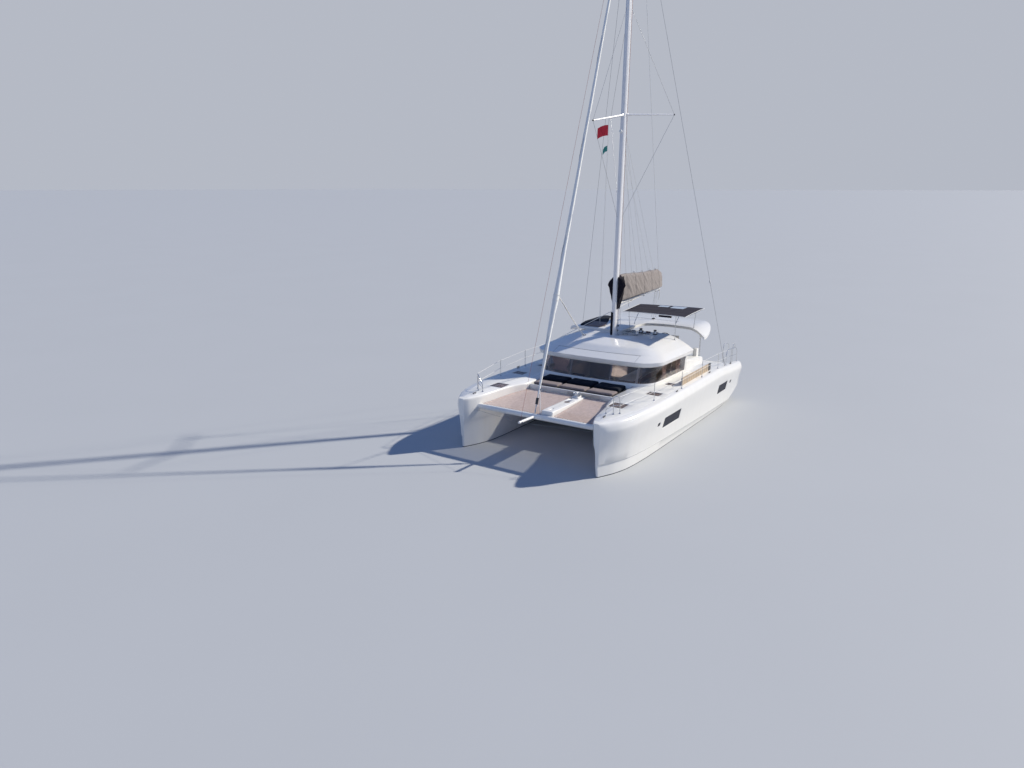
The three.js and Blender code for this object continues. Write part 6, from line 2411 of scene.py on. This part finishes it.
class BOAT_OT_stage(bpy.types.Operator):
    """Sets the plain floor at the waterline, the soft lights and the camera"""

    bl_idname = "catamaran.stage"
    bl_label = "Stage"

    def execute(self, context):
        view = context.scene.catamaran_stage
        tree, inputs, place = material("studio_floor", view.floor, 0.75)
        broad = node(tree, "TexNoise", {"Vector": place, "Scale": 0.15, "Detail": 3.0})
        near = tuple(c * 0.96 for c in view.floor)
        tree.links.new(mixed(tree, broad.outputs[0], (*near, 1), (*view.floor, 1)), inputs["Base Color"])
        alone()
        bpy.ops.mesh.primitive_grid_add(x_subdivisions=40, y_subdivisions=40, size=FLOOR_SIZE)
        floor = take("studio_floor")
        floor.data.materials.append(MATERIALS["studio_floor"])

        world = bpy.data.worlds.new("studio")
        context.scene.world = world
        world.use_nodes = True
        sky = world.node_tree
        background = sky.nodes["Background"]
        direction = node(sky, "TexCoord").outputs["Generated"]
        height = node(sky, "SeparateXYZ", {0: direction}).outputs[2]
        ramp = node(sky, "MapRange", {0: height, 1: -0.1, 2: 0.7}).outputs[0]
        low, high = ((*(c * view.fill for c in tint), 1) for tint in (view.horizon, view.zenith))
        seen = node(sky, "LightPath").outputs["Is Camera Ray"]
        color = mixed(sky, seen, mixed(sky, ramp, low, high), (*view.backdrop, 1))
        sky.links.new(color, background.inputs["Color"])

        sun_light("key_light", (55, 0, 140), view.key, 1.5, view.key_color)
        sun_light("soft_fill", (52, 0, 10), view.key * 0.04, 60, (0.9, 0.95, 1.0))

        lens = bpy.data.cameras.new("camera")
        lens.sensor_width = 36
        lens.lens = view.lens
        lens.clip_end = FLOOR_SIZE
        camera = bpy.data.objects.new("camera", lens)
        context.collection.objects.link(camera)
        camera.location = CAMERA_PLACE
        camera.rotation_euler = CAMERA_TURN
        context.scene.camera = camera
        context.scene.view_settings.view_transform = "Standard"
        context.scene.view_settings.exposure = view.exposure
        return {"FINISHED"}


# Add-on


def hue(name, description, default):
    return bpy.props.FloatVectorProperty(
        name=name, description=description, subtype="COLOR", size=3, min=0, max=1, default=default
    )


class CatamaranPaint(bpy.types.PropertyGroup):
    gelcoat: hue("Gelcoat", "Colour of the hulls, deck and roof", (0.80, 0.79, 0.765))
    bottom: hue("Bottom", "Colour of the antifouling under the waterline", (0.022, 0.035, 0.06))
    alloy: hue("Alloy", "Colour of bare metal spars", (0.62, 0.64, 0.66))
    mast: hue("Mast", "Colour of the mast and spreaders", (0.80, 0.79, 0.79))
    glass: hue("Glass", "Tint of the deckhouse windows", (0.70, 0.64, 0.63))
    cushion: hue("Cushions", "Colour of the paler pads", (0.20, 0.165, 0.16))
    # The dark pads' colour is painted shade: near black where the pads lie in shade.
    cushion_dark: hue("Dark pads", "Colour of the darker pads", (0.003, 0.006, 0.014))
    bag: hue("Sail bag", "Colour of the stowed sail's bag", (0.235, 0.205, 0.19))
    canopy: hue("Canopy", "Colour of the helm's sun canopy", (0.012, 0.010, 0.021))
    net: hue("Nets", "Colour of the trampolines", (0.70, 0.55, 0.49))
    plank: hue("Plank", "Lighter colour of the gangplank's wood", (0.60, 0.47, 0.33))


class CatamaranStage(bpy.types.PropertyGroup):
    floor: hue("Floor", "Colour of the plain floor", (0.44, 0.455, 0.47))
    backdrop: hue("Backdrop", "Colour that is seen behind the floor", (0.515, 0.545, 0.62))
    horizon: hue("Horizon", "Colour of the fill light from low down", (0.42, 0.62, 1.0))
    zenith: hue("Zenith", "Colour of the fill light from above", (0.22, 0.42, 1.0))
    key_color: hue("Key colour", "Colour of the main light", (1.0, 0.94, 0.83))
    key: bpy.props.FloatProperty(name="Key", description="Strength of the main light", default=5.6, min=0)
    fill: bpy.props.FloatProperty(
        name="Fill", description="Strength of the light from all round", default=0.44, min=0
    )
    exposure: bpy.props.FloatProperty(
        name="Exposure", description="Brightness of the picture in stops", default=-0.15
    )
    lens: bpy.props.FloatProperty(
        name="Lens", description="Focal length in millimetres", default=26.63, min=1
    )


class CATAMARAN_PT_parts(bpy.types.Panel):
    """Lists the boat's parts and colours"""

    bl_label = "Sailing catamaran"
    bl_idname = "CATAMARAN_PT_parts"
    bl_space_type = "VIEW_3D"
    bl_region_type = "UI"
    bl_category = "Catamaran"

    def draw(self, context):
        for settings in (context.scene.catamaran_paint, context.scene.catamaran_stage):
            for name in settings.__annotations__:
                self.layout.prop(settings, name)
        for part in PARTS:
            self.layout.operator(part.bl_idname)


PARTS = (
    BOAT_OT_stage, BOAT_OT_hulls, BOAT_OT_underwater, BOAT_OT_hatches, BOAT_OT_bridgedeck, BOAT_OT_lounge,
    BOAT_OT_deckhouse, BOAT_OT_coachroof, BOAT_OT_bulkhead, BOAT_OT_hardtop, BOAT_OT_helm, BOAT_OT_canopy,
    BOAT_OT_cockpit, BOAT_OT_foredeck, BOAT_OT_nets, BOAT_OT_mast, BOAT_OT_headsail, BOAT_OT_boom,
    BOAT_OT_flags, BOAT_OT_rails, BOAT_OT_gangplank,
)
CLASSES = (CatamaranPaint, CatamaranStage, CATAMARAN_PT_parts) + PARTS


def register():
    for one in CLASSES:
        bpy.utils.register_class(one)
    bpy.types.Scene.catamaran_paint = bpy.props.PointerProperty(type=CatamaranPaint)
    bpy.types.Scene.catamaran_stage = bpy.props.PointerProperty(type=CatamaranStage)


def unregister():
    del bpy.types.Scene.catamaran_stage
    del bpy.types.Scene.catamaran_paint
    for one in reversed(CLASSES):
        bpy.utils.unregister_class(one)


def main():
    register()
    build_materials(bpy.context.scene.catamaran_paint)
    for part in PARTS:
        area, name = part.bl_idname.split(".")
        getattr(getattr(bpy.ops, area), name)()


if __name__ == "__main__":
    main()
